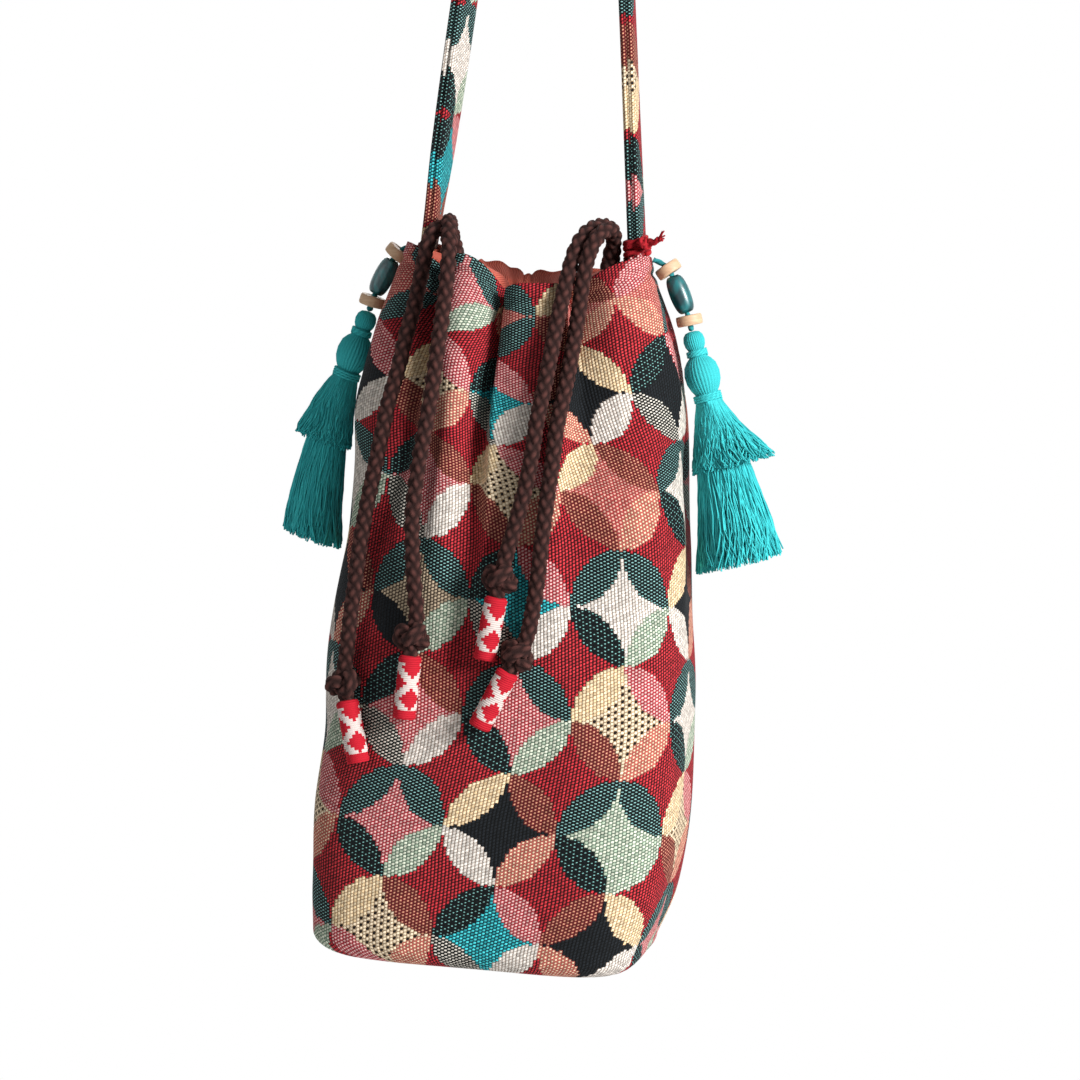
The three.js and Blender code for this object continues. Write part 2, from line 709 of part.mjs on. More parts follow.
// Walks the string from the seam outwards and down, and hangs beads and bundle on it.
function addTassel(sideName, side) {
  const along = (tilt) => new THREE.Vector3(side * Math.sin(tilt * RADIAN), 0, -Math.cos(tilt * RADIAN));
  const seam = wallPoint(side < 0 ? 0 : 0.5, wallAt(BAG_HEIGHT - STRING_EXIT));
  const spot = new THREE.Vector3(seam.x + side * (GAP + stringRadius), 0, seam.z);
  const points = [spot.clone()];
  spot.addScaledVector(along(LEAD_TILT), STRING_LEAD);
  const beads = [
    { name: "upper_disc_bead", geometry: discBead(), length: DISC_THICKNESS, material: materials.wood },
    { name: "oval_bead", geometry: ovalBead(), length: OVAL_LENGTH, material: materials.tealBead },
    { name: "lower_disc_bead", geometry: discBead(), length: DISC_THICKNESS, material: materials.wood },
  ];
  beads.forEach((bead, i) => {
    const tilt = BEAD_TILTS[i];
    points.push(spot.clone());
    spot.addScaledVector(along(tilt), bead.length / 2);
    const mesh = addPiece(`${sideName}_${bead.name}`, bead.geometry, bead.material);
    mesh.position.copy(spot);
    mesh.rotation.y = -side * tilt * RADIAN;
    points.push(spot.clone());
    spot.addScaledVector(along(tilt), bead.length / 2);
    points.push(spot.clone());
    spot.addScaledVector(along(tilt), BEAD_GAP);
  });
  points.push(spot.clone());
  const stringSteps = 16;
  const string = tube(points, STRING_DIAMETER, cordSides, stringSteps);
  const ends = [points[0], spot].map((end) => roundEnd().translate(end.x, end.y, end.z));
  addPiece(`${sideName}_tassel_cord`, joined(string, ...ends), materials.tasselYarn);
  const hung = new THREE.Group();
  hung.position.copy(spot);
  hung.rotation.y = -side * TASSEL_TILT * RADIAN;
  bag.add(hung);
  addPiece(`${sideName}_tassel_bundle`, bundle(), materials.tasselYarn, hung);
  addPiece(`${sideName}_tassel_tier`, upperTier(side), materials.tasselYarn, hung);
  addPiece(`${sideName}_head_binding`, binding(headBottom, UPPER_NECK), materials.tasselYarn, hung);
  addPiece(`${sideName}_ball_binding`, binding(ballBottom, LOWER_NECK), materials.tasselYarn, hung);
}

addTassel("left", -1);
addTassel("right", 1);

export default part;
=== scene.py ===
# Drawstring bucket bag hung by its strap: cloth, cords, beads and tassels in metres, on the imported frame.
import bmesh
import bpy
import math
import random
from mathutils import Matrix, Vector, noise


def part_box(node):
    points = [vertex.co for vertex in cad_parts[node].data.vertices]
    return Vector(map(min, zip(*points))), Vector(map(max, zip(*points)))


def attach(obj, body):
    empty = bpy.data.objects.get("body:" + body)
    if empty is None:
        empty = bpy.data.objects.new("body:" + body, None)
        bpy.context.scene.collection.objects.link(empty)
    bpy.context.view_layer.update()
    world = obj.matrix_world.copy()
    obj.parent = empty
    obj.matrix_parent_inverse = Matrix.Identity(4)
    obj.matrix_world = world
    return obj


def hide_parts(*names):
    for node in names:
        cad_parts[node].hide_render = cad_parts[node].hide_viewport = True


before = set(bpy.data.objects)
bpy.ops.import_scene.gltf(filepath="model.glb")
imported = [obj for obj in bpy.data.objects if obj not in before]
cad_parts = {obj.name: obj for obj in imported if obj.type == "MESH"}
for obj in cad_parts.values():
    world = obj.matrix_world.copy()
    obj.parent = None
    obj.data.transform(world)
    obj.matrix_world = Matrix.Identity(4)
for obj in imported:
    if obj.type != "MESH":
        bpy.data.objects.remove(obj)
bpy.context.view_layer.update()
scene = bpy.context.scene
draw = random.Random(7)
print("frame loaded")


def mix(a, b, way):
    return a + (b - a) * way


def smooth(low, high, value):
    way = min(max((value - low) / (high - low), 0.0), 1.0)
    return way * way * (3 - 2 * way)


def linear(red, green, blue):
    # screen values from 0 to 255 as a linear colour
    parts = [part / 255 for part in (red, green, blue)]
    return tuple(p / 12.92 if p <= 0.04045 else ((p + 0.055) / 1.055) ** 2.4 for p in parts) + (1.0,)


# Camera: a long lens a little above the bag and a little to its right, rolled as the photograph is.
view = {
    "azimuth": 10,
    "elevation": 6,
    "roll": 3,
    "distance": 1.6,
    "aim": (0.0, 0.0, -0.36),
    "aside": 0.0085,
    "pixelsPerMetre": 2600,
    "picture": 1080,
    "sensor": 36,
}


def placeCamera(settings):
    azimuth, elevation, roll = (math.radians(settings[k]) for k in ("azimuth", "elevation", "roll"))
    back = Vector((math.sin(azimuth) * math.cos(elevation), -math.cos(azimuth) * math.cos(elevation),
                   math.sin(elevation)))
    right = Vector((math.cos(azimuth), math.sin(azimuth), 0))
    up = back.cross(right)
    aim = Vector(settings["aim"]) + right * settings["aside"]
    turnedRight = right * math.cos(roll) + up * math.sin(roll)
    turnedUp = up * math.cos(roll) - right * math.sin(roll)
    lens = bpy.data.cameras.new("camera")
    lens.sensor_width = settings["sensor"]
    lens.lens = settings["sensor"] * settings["distance"] * settings["pixelsPerMetre"] / settings["picture"]
    lens.dof.use_dof = False
    camera = bpy.data.objects.new("camera", lens)
    scene.collection.objects.link(camera)
    camera.matrix_world = (Matrix.Translation(aim + back * settings["distance"])
                           @ Matrix((turnedRight, turnedUp, back)).transposed().to_4x4())
    scene.camera = camera


placeCamera(view)
scene.view_settings.view_transform = "Standard"


# Shader helpers
class Field:
    # a value in a shader, which makes a node for each sum that it is in
    def __init__(self, socket):
        self.socket = socket
        self.tree = socket.id_data

    def __rsub__(self, other):
        return sums(self.tree, "SUBTRACT", other, self)

    def timesPlus(self, factor, more, clamp=False):
        return sums(self.tree, "MULTIPLY_ADD", self, factor, more, clamp)


fieldSums = {
    "__add__": "ADD", "__sub__": "SUBTRACT", "__mul__": "MULTIPLY", "__truediv__": "DIVIDE",
    "__mod__": "FLOORED_MODULO", "__floor__": "FLOOR", "__abs__": "ABSOLUTE", "__lt__": "LESS_THAN",
    "__gt__": "GREATER_THAN", "snap": "SNAP", "pingPong": "PINGPONG", "most": "MAXIMUM",
}
for name, operation in fieldSums.items():
    setattr(Field, name, lambda self, *other, kind=operation: sums(self.tree, kind, self, *other))


def addNode(tree, kind, **settings):
    made = tree.nodes.new("ShaderNode" + kind)
    for name, value in settings.items():
        setattr(made, name, value)
    return made


def feed(value, socket):
    # another node's value is linked, anything else is set on the socket itself
    if isinstance(value, Field):
        value.tree.links.new(value.socket, socket)
    else:
        socket.default_value = value


def addField(tree, kind, inputs, output=0, **settings):
    # a node with its inputs fed by name or place, and the value of one of its outputs
    made = addNode(tree, kind, **settings)
    for key, value in inputs.items():
        feed(value, made.inputs[key])
    return Field(made.outputs[output])


def sums(tree, operation, a, b=0.0, c=0.0, clamp=False):
    return addField(tree, "Math", {0: a, 1: b, 2: c}, operation=operation, use_clamp=clamp)


def split(value, kind):
    made = addNode(value.tree, kind)
    feed(value, made.inputs[0])
    return [Field(socket) for socket in made.outputs]


def between(way, a, b):
    return addField(way.tree, "Mix", {0: way, 2: a, 3: b}, data_type="FLOAT")


def tinted(way, a, b):
    return addField(way.tree, "Mix", {0: way, 6: a, 7: b}, 2, data_type="RGBA")


def stepRamp(value, colours):
    # one flat step of the ramp for each colour
    made = addNode(value.tree, "ValToRGB")
    ramp = made.color_ramp
    ramp.interpolation = "CONSTANT"
    ramp.elements.remove(ramp.elements[1])
    ramp.elements[0].position = 0
    ramp.elements[0].color = colours[0]
    for i in range(1, len(colours)):
        ramp.elements.new(i / len(colours)).color = colours[i]
    feed(value, made.inputs[0])
    return Field(made.outputs[0])


def softRamp(value, low, high):
    return addField(value.tree, "MapRange", {0: value, 1: low, 2: high}, interpolation_type="SMOOTHSTEP")


def coordinate(tree, kind):
    return addField(tree, "TexCoord", {}, kind)


def grain(place, scale, detail, stretch):
    mapped = addField(place.tree, "Mapping", {"Vector": place, "Scale": stretch})
    return addField(place.tree, "TexNoise", {"Vector": mapped, "Scale": scale, "Detail": detail})


# Cloth, yarn and paper shine less than wood and beads
clothRoughness = 0.9
sheen = {"matteFrom": 0.7, "matte": 0.2, "smooth": 0.5}


def newMaterial(name, roughness, **principled):
    made = bpy.data.materials.new(name)
    made.use_nodes = True
    tree = made.node_tree
    shader = tree.nodes["Principled BSDF"]
    shader.inputs["Roughness"].default_value = roughness
    kind = "matte" if roughness > sheen["matteFrom"] else "smooth"
    shader.inputs["Specular IOR Level"].default_value = sheen[kind]
    for key, value in principled.items():
        shader.inputs[key.replace("_", " ")].default_value = value
    return made, tree, shader


def bumpInto(shader, height, relief):
    # relief is the bump's depth in metres and its strength
    depth, strength = relief
    bump = addField(height.tree, "Bump", {"Distance": depth, "Strength": strength, "Height": height})
    feed(bump, shader.inputs["Normal"])


def colourInto(shader, way, dark, light):
    feed(tinted(way, dark, light), shader.inputs["Base Color"])


# Jacquard: overlapping circles on a square lattice. Each circle has a star and four petals, and each of
# them its own weave of two yarns in a staggered grid of short floats.
jacquard = {
    "pitch": 0.043,
    "centre": (-0.0365, 0.017),
    "slant": 0.24,
    "wander": 0.0008,
    "floatWidth": 0.0014,
    "floatLength": 0.0013,
    # grain of the yarns' wander, edge of a float from full to gone, fall of its height towards the edge
    "wanderGrain": 70,
    "floatEdge": (0.45, 1.5),
    "dome": 0.4,
    # least brightness of a float, and how much chance adds
    "shade": (0.75, 0.5),
    # added to a float's place in the order of yarns, so that a share of nothing stays empty
    "orderMargin": 0.1,
    "relief": (0.0005, 1.0),
    # floats' yarn, second yarn, yarn behind, float's width and height in its cell, share of second yarn
    "weaves": {
        "ground": (linear(198, 53, 61), linear(120, 20, 28), linear(52, 5, 11), 0.66, 0.8, 0.0),
        "green": (linear(132, 182, 178), linear(20, 34, 36), linear(4, 11, 12), 0.72, 0.36, 0.0),
        "blackTeal": (linear(122, 176, 170), linear(12, 22, 24), linear(4, 8, 10), 0.52, 0.36, 0.25),
        "sage": (linear(206, 212, 192), linear(168, 184, 162), linear(98, 120, 102), 0.86, 0.8, 0.25),
        "cream": (linear(238, 215, 177), linear(228, 200, 157), linear(178, 142, 104), 0.8, 0.96, 0.25),
        "creamDots": (linear(236, 216, 186), linear(26, 20, 19), linear(170, 142, 108), 0.88, 0.84, 0.25),
        "coralDots": (linear(236, 206, 174), linear(184, 78, 70), linear(168, 86, 76), 0.62, 0.58, 0.0),
        "salmon": (linear(222, 166, 150), linear(180, 70, 68), linear(158, 58, 58), 0.7, 0.6, 0.0),
        "pink": (linear(234, 184, 180), linear(178, 66, 74), linear(158, 46, 56), 0.72, 0.64, 0.0),
        "brown": (linear(200, 138, 112), linear(110, 34, 38), linear(92, 24, 28), 0.62, 0.56, 0.0),
        "white": (linear(230, 223, 214), linear(214, 205, 196), linear(172, 155, 142), 0.8, 1.0, 0.25),
        "black": (linear(24, 28, 32), linear(14, 16, 20), linear(4, 5, 6), 0.7, 0.92, 0.0),
        "grey": (linear(210, 204, 192), linear(24, 30, 30), linear(8, 12, 12), 0.84, 0.52, 0.0),
        "turquoise": (linear(72, 206, 212), linear(40, 160, 168), linear(8, 66, 76), 0.82, 0.66, 0.25),
        "beige": (linear(204, 184, 156), linear(160, 144, 120), linear(84, 70, 58), 0.76, 0.74, 0.0),
    },
    # star, then the petals upper left, upper right, lower left and lower right
    "motifs": [
        ("white", "green", "green", "blackTeal", "sage"),
        ("pink", "green", "green", "blackTeal", "sage"),
        ("sage", "green", "green", "blackTeal", "sage"),
        ("creamDots", "cream", "pink", "brown", "coralDots"),
        ("black", "cream", "brown", "white", "coralDots"),
        ("black", "brown", "cream", "coralDots", "white"),
        ("turquoise", "blackTeal", "pink", "grey", "white"),
        ("pink", "blackTeal", "brown", "grey", "white"),
        ("beige", "green", "green", "black", "sage"),
        ("salmon", "cream", "brown", "brown", "coralDots"),
        ("creamDots", "cream", "brown", "pink", "coralDots"),
        ("black", "blackTeal", "pink", "grey", "white"),
        ("salmon", "cream", "green", "coralDots", "green"),
        ("salmon", "pink", "green", "coralDots", "green"),
        ("turquoise", "blackTeal", "pink", "brown", "brown"),
    ],
    # the motif of each circle, row by row from the base of the bag, and along the strap from its left foot
    "layout": [
        (10, 6, 5, 1), (1, 4, 2, 3), (7, 1, 3, 0), (8, 6, 0, 4), (7, 3, 9, 0), (3, 6, 5, 11), (1, 12, 9, 13),
    ],
    "strapLayout": [(14,), (0,), (1,), (4,), (3,), (7,), (2,), (9,), (5,), (8,), (3,), (1,), (10,)],
    "strapShift": (0.0205, -0.016, 0),
}


def grey(value):
    return (value, value, value, 1.0)


def squareSum(a, b):
    return a * a + b * b


def fourthPower(value):
    square = value * value
    return square * square


def wandering(place, settings):
    # the yarns don't run quite straight
    uneven = addField(place.tree, "TexNoise", {"Vector": place, "Scale": settings["wanderGrain"]}, "Color",
                      noise_dimensions="2D")
    reach = (settings["wander"], settings["wander"], 0)
    drift = addField(place.tree, "VectorMath", {0: uneven, 1: reach, 2: place}, operation="MULTIPLY_ADD")
    return split(drift, "SeparateXYZ")[:2]


def floatAt(across, up, settings):
    # the float that a point lies in, with every second column half a float higher: its column and row,
    # the point's place in it, and its centre on the cloth
    width, length = settings["floatWidth"], settings["floatLength"]
    acrossFloats = across / width
    column = math.floor(acrossFloats)
    oddColumn = column % 2.0
    upFloats = oddColumn.timesPlus(0.5, up / length)
    row = math.floor(upFloats)
    inside = (acrossFloats - column - 0.5, upFloats - row - 0.5)
    centre = ((column + 0.5) * width, (row + 0.5 - oddColumn * 0.5) * length)
    return (column, row, oddColumn), inside, centre


def weaveAt(centre, settings, layout):
    # the weave at a float's centre, as a share of the way through the list of weaves
    pitch = settings["pitch"]
    local, cell = [], []
    for value, middle in zip(centre, settings["centre"]):
        circles = value.timesPlus(1 / pitch, 0.5 - middle / pitch)
        cell.append(math.floor(circles))
        local.append(circles - cell[-1] - 0.5)
    halfSquared = 0.5 ** 2
    inCircle = squareSum(*local) < halfSquared
    inPetal = squareSum(*[abs(value) - 0.5 for value in local]) < halfSquared
    atRight, atTop = [value > 0.0 for value in local]
    # the circle's motif, then the weave of each of its zones
    rows, columns = len(layout), len(layout[0])
    order = (cell[1] % float(rows)).timesPlus(float(columns), cell[0] % float(columns))
    order = order.timesPlus(1 / (rows * columns), 0.5 / (rows * columns))
    names, motifs = list(settings["weaves"]), settings["motifs"]
    motif = stepRamp(order, [grey((m + 0.5) / len(motifs)) for line in layout for m in line])
    zones = []
    for zone in range(len(motifs[0])):
        zones.append(stepRamp(motif, [grey((names.index(m[zone]) + 0.5) / len(names)) for m in motifs]))
    star, upperLeft, upperRight, lowerLeft, lowerRight = zones
    petals = between(atTop, between(atRight, lowerLeft, lowerRight), between(atRight, upperLeft, upperRight))
    ground = 0.5 / len(names)
    return between(inCircle, ground, between(inPetal, star, petals))


def secondYarn(column, row, oddColumn, share, margin):
    # whether a float has the second yarn, with every second column of dots half a repeat higher
    oddRow = (row + math.floor(column * 0.5)) % 2.0
    order = abs(oddRow - oddColumn).timesPlus(2.0, oddColumn) * 0.25
    return order + margin < share


def makeJacquard(name, settings, layout):
    tree = bpy.data.node_groups.new(name, "ShaderNodeTree")
    tree.interface.new_socket("Cloth", in_out="INPUT", socket_type="NodeSocketVector")
    tree.interface.new_socket("Color", in_out="OUTPUT", socket_type="NodeSocketColor")
    tree.interface.new_socket("Height", in_out="OUTPUT", socket_type="NodeSocketFloat")
    start, end = tree.nodes.new("NodeGroupInput"), tree.nodes.new("NodeGroupOutput")
    across, up = wandering(Field(start.outputs[0]), settings)
    (column, row, oddColumn), (inColumn, inRow), centre = floatAt(across, up, settings)
    weave = weaveAt(centre, settings, layout)
    weaves = list(settings["weaves"].values())
    front, other, behind = [stepRamp(weave, [w[i] for w in weaves]) for i in range(3)]
    draft = stepRamp(weave, [(w[3] / 2, w[4] / 2, w[5], 1) for w in weaves])
    halfWide, halfHigh, secondShare = split(draft, "SeparateColor")
    second = secondYarn(column, row, oddColumn, secondShare, settings["orderMargin"])
    # rounded, slanted float in its cell
    slanted = inRow.timesPlus(-settings["slant"], inColumn)
    away = fourthPower(slanted / halfWide) + fourthPower(inRow / halfHigh)
    shown = 1.0 - softRamp(away, *settings["floatEdge"])
    # each float is a little lighter or darker than the next
    lot = addField(tree, "CombineXYZ", {0: column, 1: row})
    chance = addField(tree, "TexWhiteNoise", {"Vector": lot}, noise_dimensions="2D")
    least, more = settings["shade"]
    colour = tinted(shown, behind, tinted(second, front, other))
    shade = chance.timesPlus(more, least)
    feed(addField(tree, "VectorMath", {0: colour, "Scale": shade}, operation="SCALE"), end.inputs[0])
    feed(shown * away.timesPlus(-settings["dome"], 1.0), end.inputs[1])
    return tree


def jacquardMaterial(name, layout, shift):
    made, tree, shader = newMaterial(name, clothRoughness)
    place = addField(tree, "VectorMath", {0: coordinate(tree, "UV"), 1: shift}, operation="ADD")
    cloth = addNode(tree, "Group", node_tree=makeJacquard(name + "Weave", jacquard, layout))
    feed(place, cloth.inputs[0])
    feed(Field(cloth.outputs[0]), shader.inputs["Base Color"])
    bumpInto(shader, Field(cloth.outputs[1]), jacquard["relief"])
    return made


clothMaterial = jacquardMaterial("jacquard", jacquard["layout"], (0, 0, 0))
strapMaterial = jacquardMaterial("strapCloth", jacquard["strapLayout"], jacquard["strapShift"])

liningLook = {
    "dark": linear(164, 66, 54),
    "light": linear(206, 108, 88),
    "ribs": 260,
    "waver": 0.6,
    "relief": (0.0003, 0.6),
}


def liningMaterial(look):
    made, tree, shader = newMaterial("liningCloth", clothRoughness)
    inputs = {"Vector": coordinate(tree, "UV"), "Scale": look["ribs"], "Distortion": look["waver"]}
    ribs = addField(tree, "TexWave", inputs, "Fac", wave_type="BANDS", bands_direction="X")
    colourInto(shader, ribs, look["dark"], look["light"])
    bumpInto(shader, ribs, look["relief"])
    return made


# dark and light colour, grain of the fibres and its stretch, shares of the shade-and-tone value and of the
# fibres; on braids and plied yarns that value is painted shade in the gaps and a painted highlight on the
# crowns, on loose yarns their own tone
yarnLooks = {
    "drawstring": (linear(6, 2, 2), linear(92, 55, 50), 900, (12, 1, 1), 0.75, 0.26),
    "redYarn": (linear(110, 14, 22), linear(196, 40, 50), 900, (6, 1, 1), 0.6, 0.5),
    "tasselYarn": (linear(12, 116, 125), linear(78, 222, 224), 700, (4, 1, 1), 0.6, 0.5),
    "tasselString": (linear(20, 96, 104), linear(60, 160, 164), 900, (6, 1, 1), 0.6, 0.5),
}
fibreLook = {"detail": 3.0, "relief": (0.0002, 0.5)}


def yarnMaterial(name):
    # yarn with fine fibres, darker with painted shade between braided strands and plies and lighter with
    # painted highlights on their crowns, and with each loose yarn's own tone
    dark, light, scale, stretch, shadeAndToneShare, fibreShare = yarnLooks[name]
    made, tree, shader = newMaterial(name, clothRoughness)
    fibres = grain(coordinate(tree, "UV"), scale, fibreLook["detail"], stretch)
    shadeAndTone = addField(tree, "Attribute", {}, "Fac", attribute_name="shadeAndTone")
    colourInto(shader, shadeAndTone.timesPlus(shadeAndToneShare, fibres * fibreShare, True), dark, light)
    bumpInto(shader, fibres, fibreLook["relief"])
    return made


ribbonLook = {
    "red": linear(190, 24, 42),
    "white": linear(222, 208, 202),
    "shade": linear(90, 10, 16),
    "roughness": 0.8,
    # woven steps round the tube, height of a step, half a diamond in steps, and where the first one starts
    "stepsRound": 20,
    "stepHeight": 0.0012,
    "halfDiamond": 5.0,
    "start": 2.0,
    # half the width of a white line in steps, and the stretch of the tube that has them
    "line": 1.6,
    "middle": (0.0026, 0.0205),
    "picks": 400,
    "pickShade": 0.22,
    "relief": (0.0003, 0.6),
}


def ribbonMaterial(look):
    # red woven ribbon with white stepped diamonds between red end bands
    made, tree, shader = newMaterial("ribbon", look["roughness"])
    cloth = coordinate(tree, "UV")
    share, down = split(cloth, "SeparateXYZ")[:2]
    count, rise, half = look["stepsRound"], look["stepHeight"], look["halfDiamond"]
    acrossSteps = share.snap(1 / count) * float(count)
    downSteps = down.snap(rise) * (1 / rise)
    away = abs(acrossSteps.pingPong(half) + (downSteps + look["start"]).pingPong(half) - half)
    low, high = look["middle"]
    figure = (away < look["line"]) * ((down > low) * (down < high))
    inputs = {"Vector": cloth, "Scale": look["picks"]}
    weave = addField(tree, "TexWave", inputs, "Fac", wave_type="BANDS", bands_direction="Y")
    colour = tinted(figure, look["red"], look["white"])
    colourInto(shader, weave * look["pickShade"], colour, look["shade"])
    bumpInto(shader, weave, look["relief"])
    return made


# grain: scale, detail and stretch
woodLook = {
    "dark": linear(176, 136, 104),
    "light": linear(226, 194, 158),
    "roughness": 0.55,
    "grain": (300, 4.0, (1, 0.25, 4)),
    "relief": (0.0002, 0.4),
}
beadLook = {
    "dark": linear(0, 50, 56),
    "light": linear(4, 104, 108),
    "roughness": 0.35,
    "coat": 0.25,
    "coatRoughness": 0.1,
    "grain": (420, 4.0, (1, 1, 0.5)),
    "mottle": (0.35, 0.7),
}


def woodMaterial(look):
    made, tree, shader = newMaterial("wood", look["roughness"])
    lines = grain(coordinate(tree, "Object"), *look["grain"])
    colourInto(shader, lines, look["dark"], look["light"])
    bumpInto(shader, lines, look["relief"])
    return made


def beadMaterial(look):
    made, tree, shader = newMaterial("tealBead", look["roughness"], Coat_Weight=look["coat"],
                                     Coat_Roughness=look["coatRoughness"])
    mottle = softRamp(grain(coordinate(tree, "Object"), *look["grain"]), *look["mottle"])
    colourInto(shader, mottle, look["dark"], look["light"])
    return made


lining = liningMaterial(liningLook)
cordYarn, redYarn, tasselYarn, stringYarn = [yarnMaterial(name) for name in yarnLooks]
ribbon = ribbonMaterial(ribbonLook)
wood = woodMaterial(woodLook)
tealBead = beadMaterial(beadLook)
print("materials made")


# Shape helpers
plainShadeAndTone = 0.5


def loft(bm, rings, uvOf, capped, shadesAndTones=None):
    # the first ring is grown ring by ring, each ring's points in the order of the first
    layer = bm.loops.layers.uv.verify()
    shade = bm.verts.layers.float.get("shadeAndTone") or bm.verts.layers.float.new("shadeAndTone")
    first = [bm.verts.new(point) for point in rings[0]]
    count = len(first)
    edges = [bm.edges.new((first[i], first[(i + 1) % count])) for i in range(count)]
    startEdges = edges
    where = {vert: (0, i) for i, vert in enumerate(first)}
    faces = []
    last = first
    for level, ring in enumerate(rings[1:], 1):
        grown = bmesh.ops.extrude_edge_only(bm, edges=edges)["geom"]
        verts = {item for item in grown if isinstance(item, bmesh.types.BMVert)}
        faces += [item for item in grown if isinstance(item, bmesh.types.BMFace)]
        below = {vert: i for i, vert in enumerate(last)}
        last = [None] * count
        for vert in verts:
            for edge in vert.link_edges:
                other = edge.other_vert(vert)
                if other in below:
                    last[below[other]] = vert
                    where[vert] = (level, below[other])
        for vert, point in zip(last, ring):
            vert.co = point
        edges = [e for e in grown if isinstance(e, bmesh.types.BMEdge) and verts.issuperset(e.verts)]
    for face in faces:
        marks = [where[loop.vert] for loop in face.loops]
        places = [i for level, i in marks]
        wraps = max(places) - min(places) > 1
        places = [count if wraps and i == 0 else i for i in places]
        middle = sum(places) / len(places)
        for loop, (level, i), spot in zip(face.loops, marks, places):
            loop[layer].uv = uvOf(level, spot, middle)
    for vert, (level, i) in where.items():
        # each point keeps its painted shade value from the section, or the plain middle value
        vert[shade] = shadesAndTones[level][i] if shadesAndTones else plainShadeAndTone
    for cap, capEdges in zip(capped, (startEdges, edges)):
        if cap:
            bmesh.ops.contextual_create(bm, geom=capEdges)


def carried(route, side=None):
    # tangent and two sides at each point of a route, carried along it without twist
    count = len(route)
    tangents = [(route[min(i + 1, count - 1)] - route[max(i - 1, 0)]).normalized() for i in range(count)]
    side = side or tangents[0].orthogonal().normalized()
    made = []
    for i, tangent in enumerate(tangents):
        if i:
            side = tangents[i - 1].rotation_difference(tangent) @ side
        side = (side - side.project(tangent)).normalized()
        made.append((route[i], tangent, side, tangent.cross(side)))
    return made


def sweep(bm, route, section, side=None):
    # section gives a ring of offsets, each with its painted shade value, for a distance along the route
    rings, shadesAndTones, runs = [], [], []
    run = 0.0
    for i, (place, tangent, across, up) in enumerate(carried(route, side)):
        if i:
            run += (place - route[i - 1]).length
        ring = section(run)
        runs.append(run)
        rings.append([place + across * a + up * b for a, b, shadeAndTone in ring])
        shadesAndTones.append([shadeAndTone for a, b, shadeAndTone in ring])
    count = len(rings[0])
    loft(bm, rings, lambda level, i, middle: (i / count, runs[level]), (True, True), shadesAndTones)


def curved(points, step):
    # centripetal Catmull-Rom curve through the points, in short steps
    points = [Vector(p) for p in points]
    points = [points[0] * 2 - points[1]] + points + [points[-1] * 2 - points[-2]]
    made = []
    for p in range(1, len(points) - 2):
        a, b, c, d = points[p - 1:p + 3]
        ta = math.sqrt((b - a).length)
        tb = ta + math.sqrt((c - b).length)
        tc = tb + math.sqrt((d - c).length)
        steps = max(2, round((c - b).length / step))
        for i in range(steps):
            t = mix(ta, tb, i / steps)
            ab = a * ((ta - t) / ta) + b * (t / ta)
            bc = b * ((tb - t) / (tb - ta)) + c * ((t - ta) / (tb - ta))
            cd = c * ((tc - t) / (tc - tb)) + d * ((t - tb) / (tc - tb))
            abc = ab * ((tb - t) / tb) + bc * (t / tb)
            bcd = bc * ((tc - t) / (tc - ta)) + cd * ((t - ta) / (tc - ta))
            made.append(abc * ((tb - t) / (tb - ta)) + bcd * ((t - ta) / (tb - ta)))
    return made + [points[-2].copy()]


def lengthOf(route):
    return sum((b - a).length for a, b in zip(route, route[1:]))


def runsRound(ring):
    # distance round a closed ring at each of its points, and at the first again
    runs = [0.0]
    for a, b in zip(ring, ring[1:] + ring[:1]):
        runs.append(runs[-1] + (b - a).length)
    return runs


# strands and length of a repeat, how far a strand's bulge falls towards its ends, and the power of the
# painted shade, dark in the gaps between strands and light on their crowns
braidShape = {"strands": 4, "repeat": 0.0056, "crown": 0.45, "paintedShadePower": 3}
plyGroove = 0.22


def polar(reach, turn):
    return reach * math.cos(2 * math.pi * turn), reach * math.sin(2 * math.pi * turn)


def braid(radius, relief, sides):
    # section of a round braid whose strands go over and under one another in columns of vees
    strands, repeat, crown = (braidShape[k] for k in ("strands", "repeat", "crown"))

    def section(run):
        ring = []
        for i in range(sides):
            turn = i / sides
            rising, falling = strands * turn + run / repeat, strands * turn - run / repeat
            over = (math.floor(rising) + math.floor(falling)) % 2 == 0
            across, along = (rising, falling) if over else (falling, rising)
            side, end = (math.cos(math.pi * (way % 1 - 0.5)) for way in (across, along))
            bulge = side * (1 - crown + crown * end)
            # the bulge to a power is painted shade: darker in the gaps between strands, a painted highlight
            # on each crown
            ring.append(polar(radius + relief * (bulge - 0.5), turn) + (bulge ** braidShape["paintedShadePower"],))
        return ring

    return section


def plied(radius, sides, plies, repeat):
    # section of a yarn twisted from a few plies
    def section(run):
        ring = []
        for i in range(sides):
            turn = i / sides
            ply = abs(math.cos(math.pi * (plies * turn + run / repeat)))
            # the ply's bulge is also painted shade: darker in the grooves between plies, lighter on their
            # crowns
            ring.append(polar(radius * (1 - plyGroove + plyGroove * ply), turn) + (ply,))
        return ring

    return section


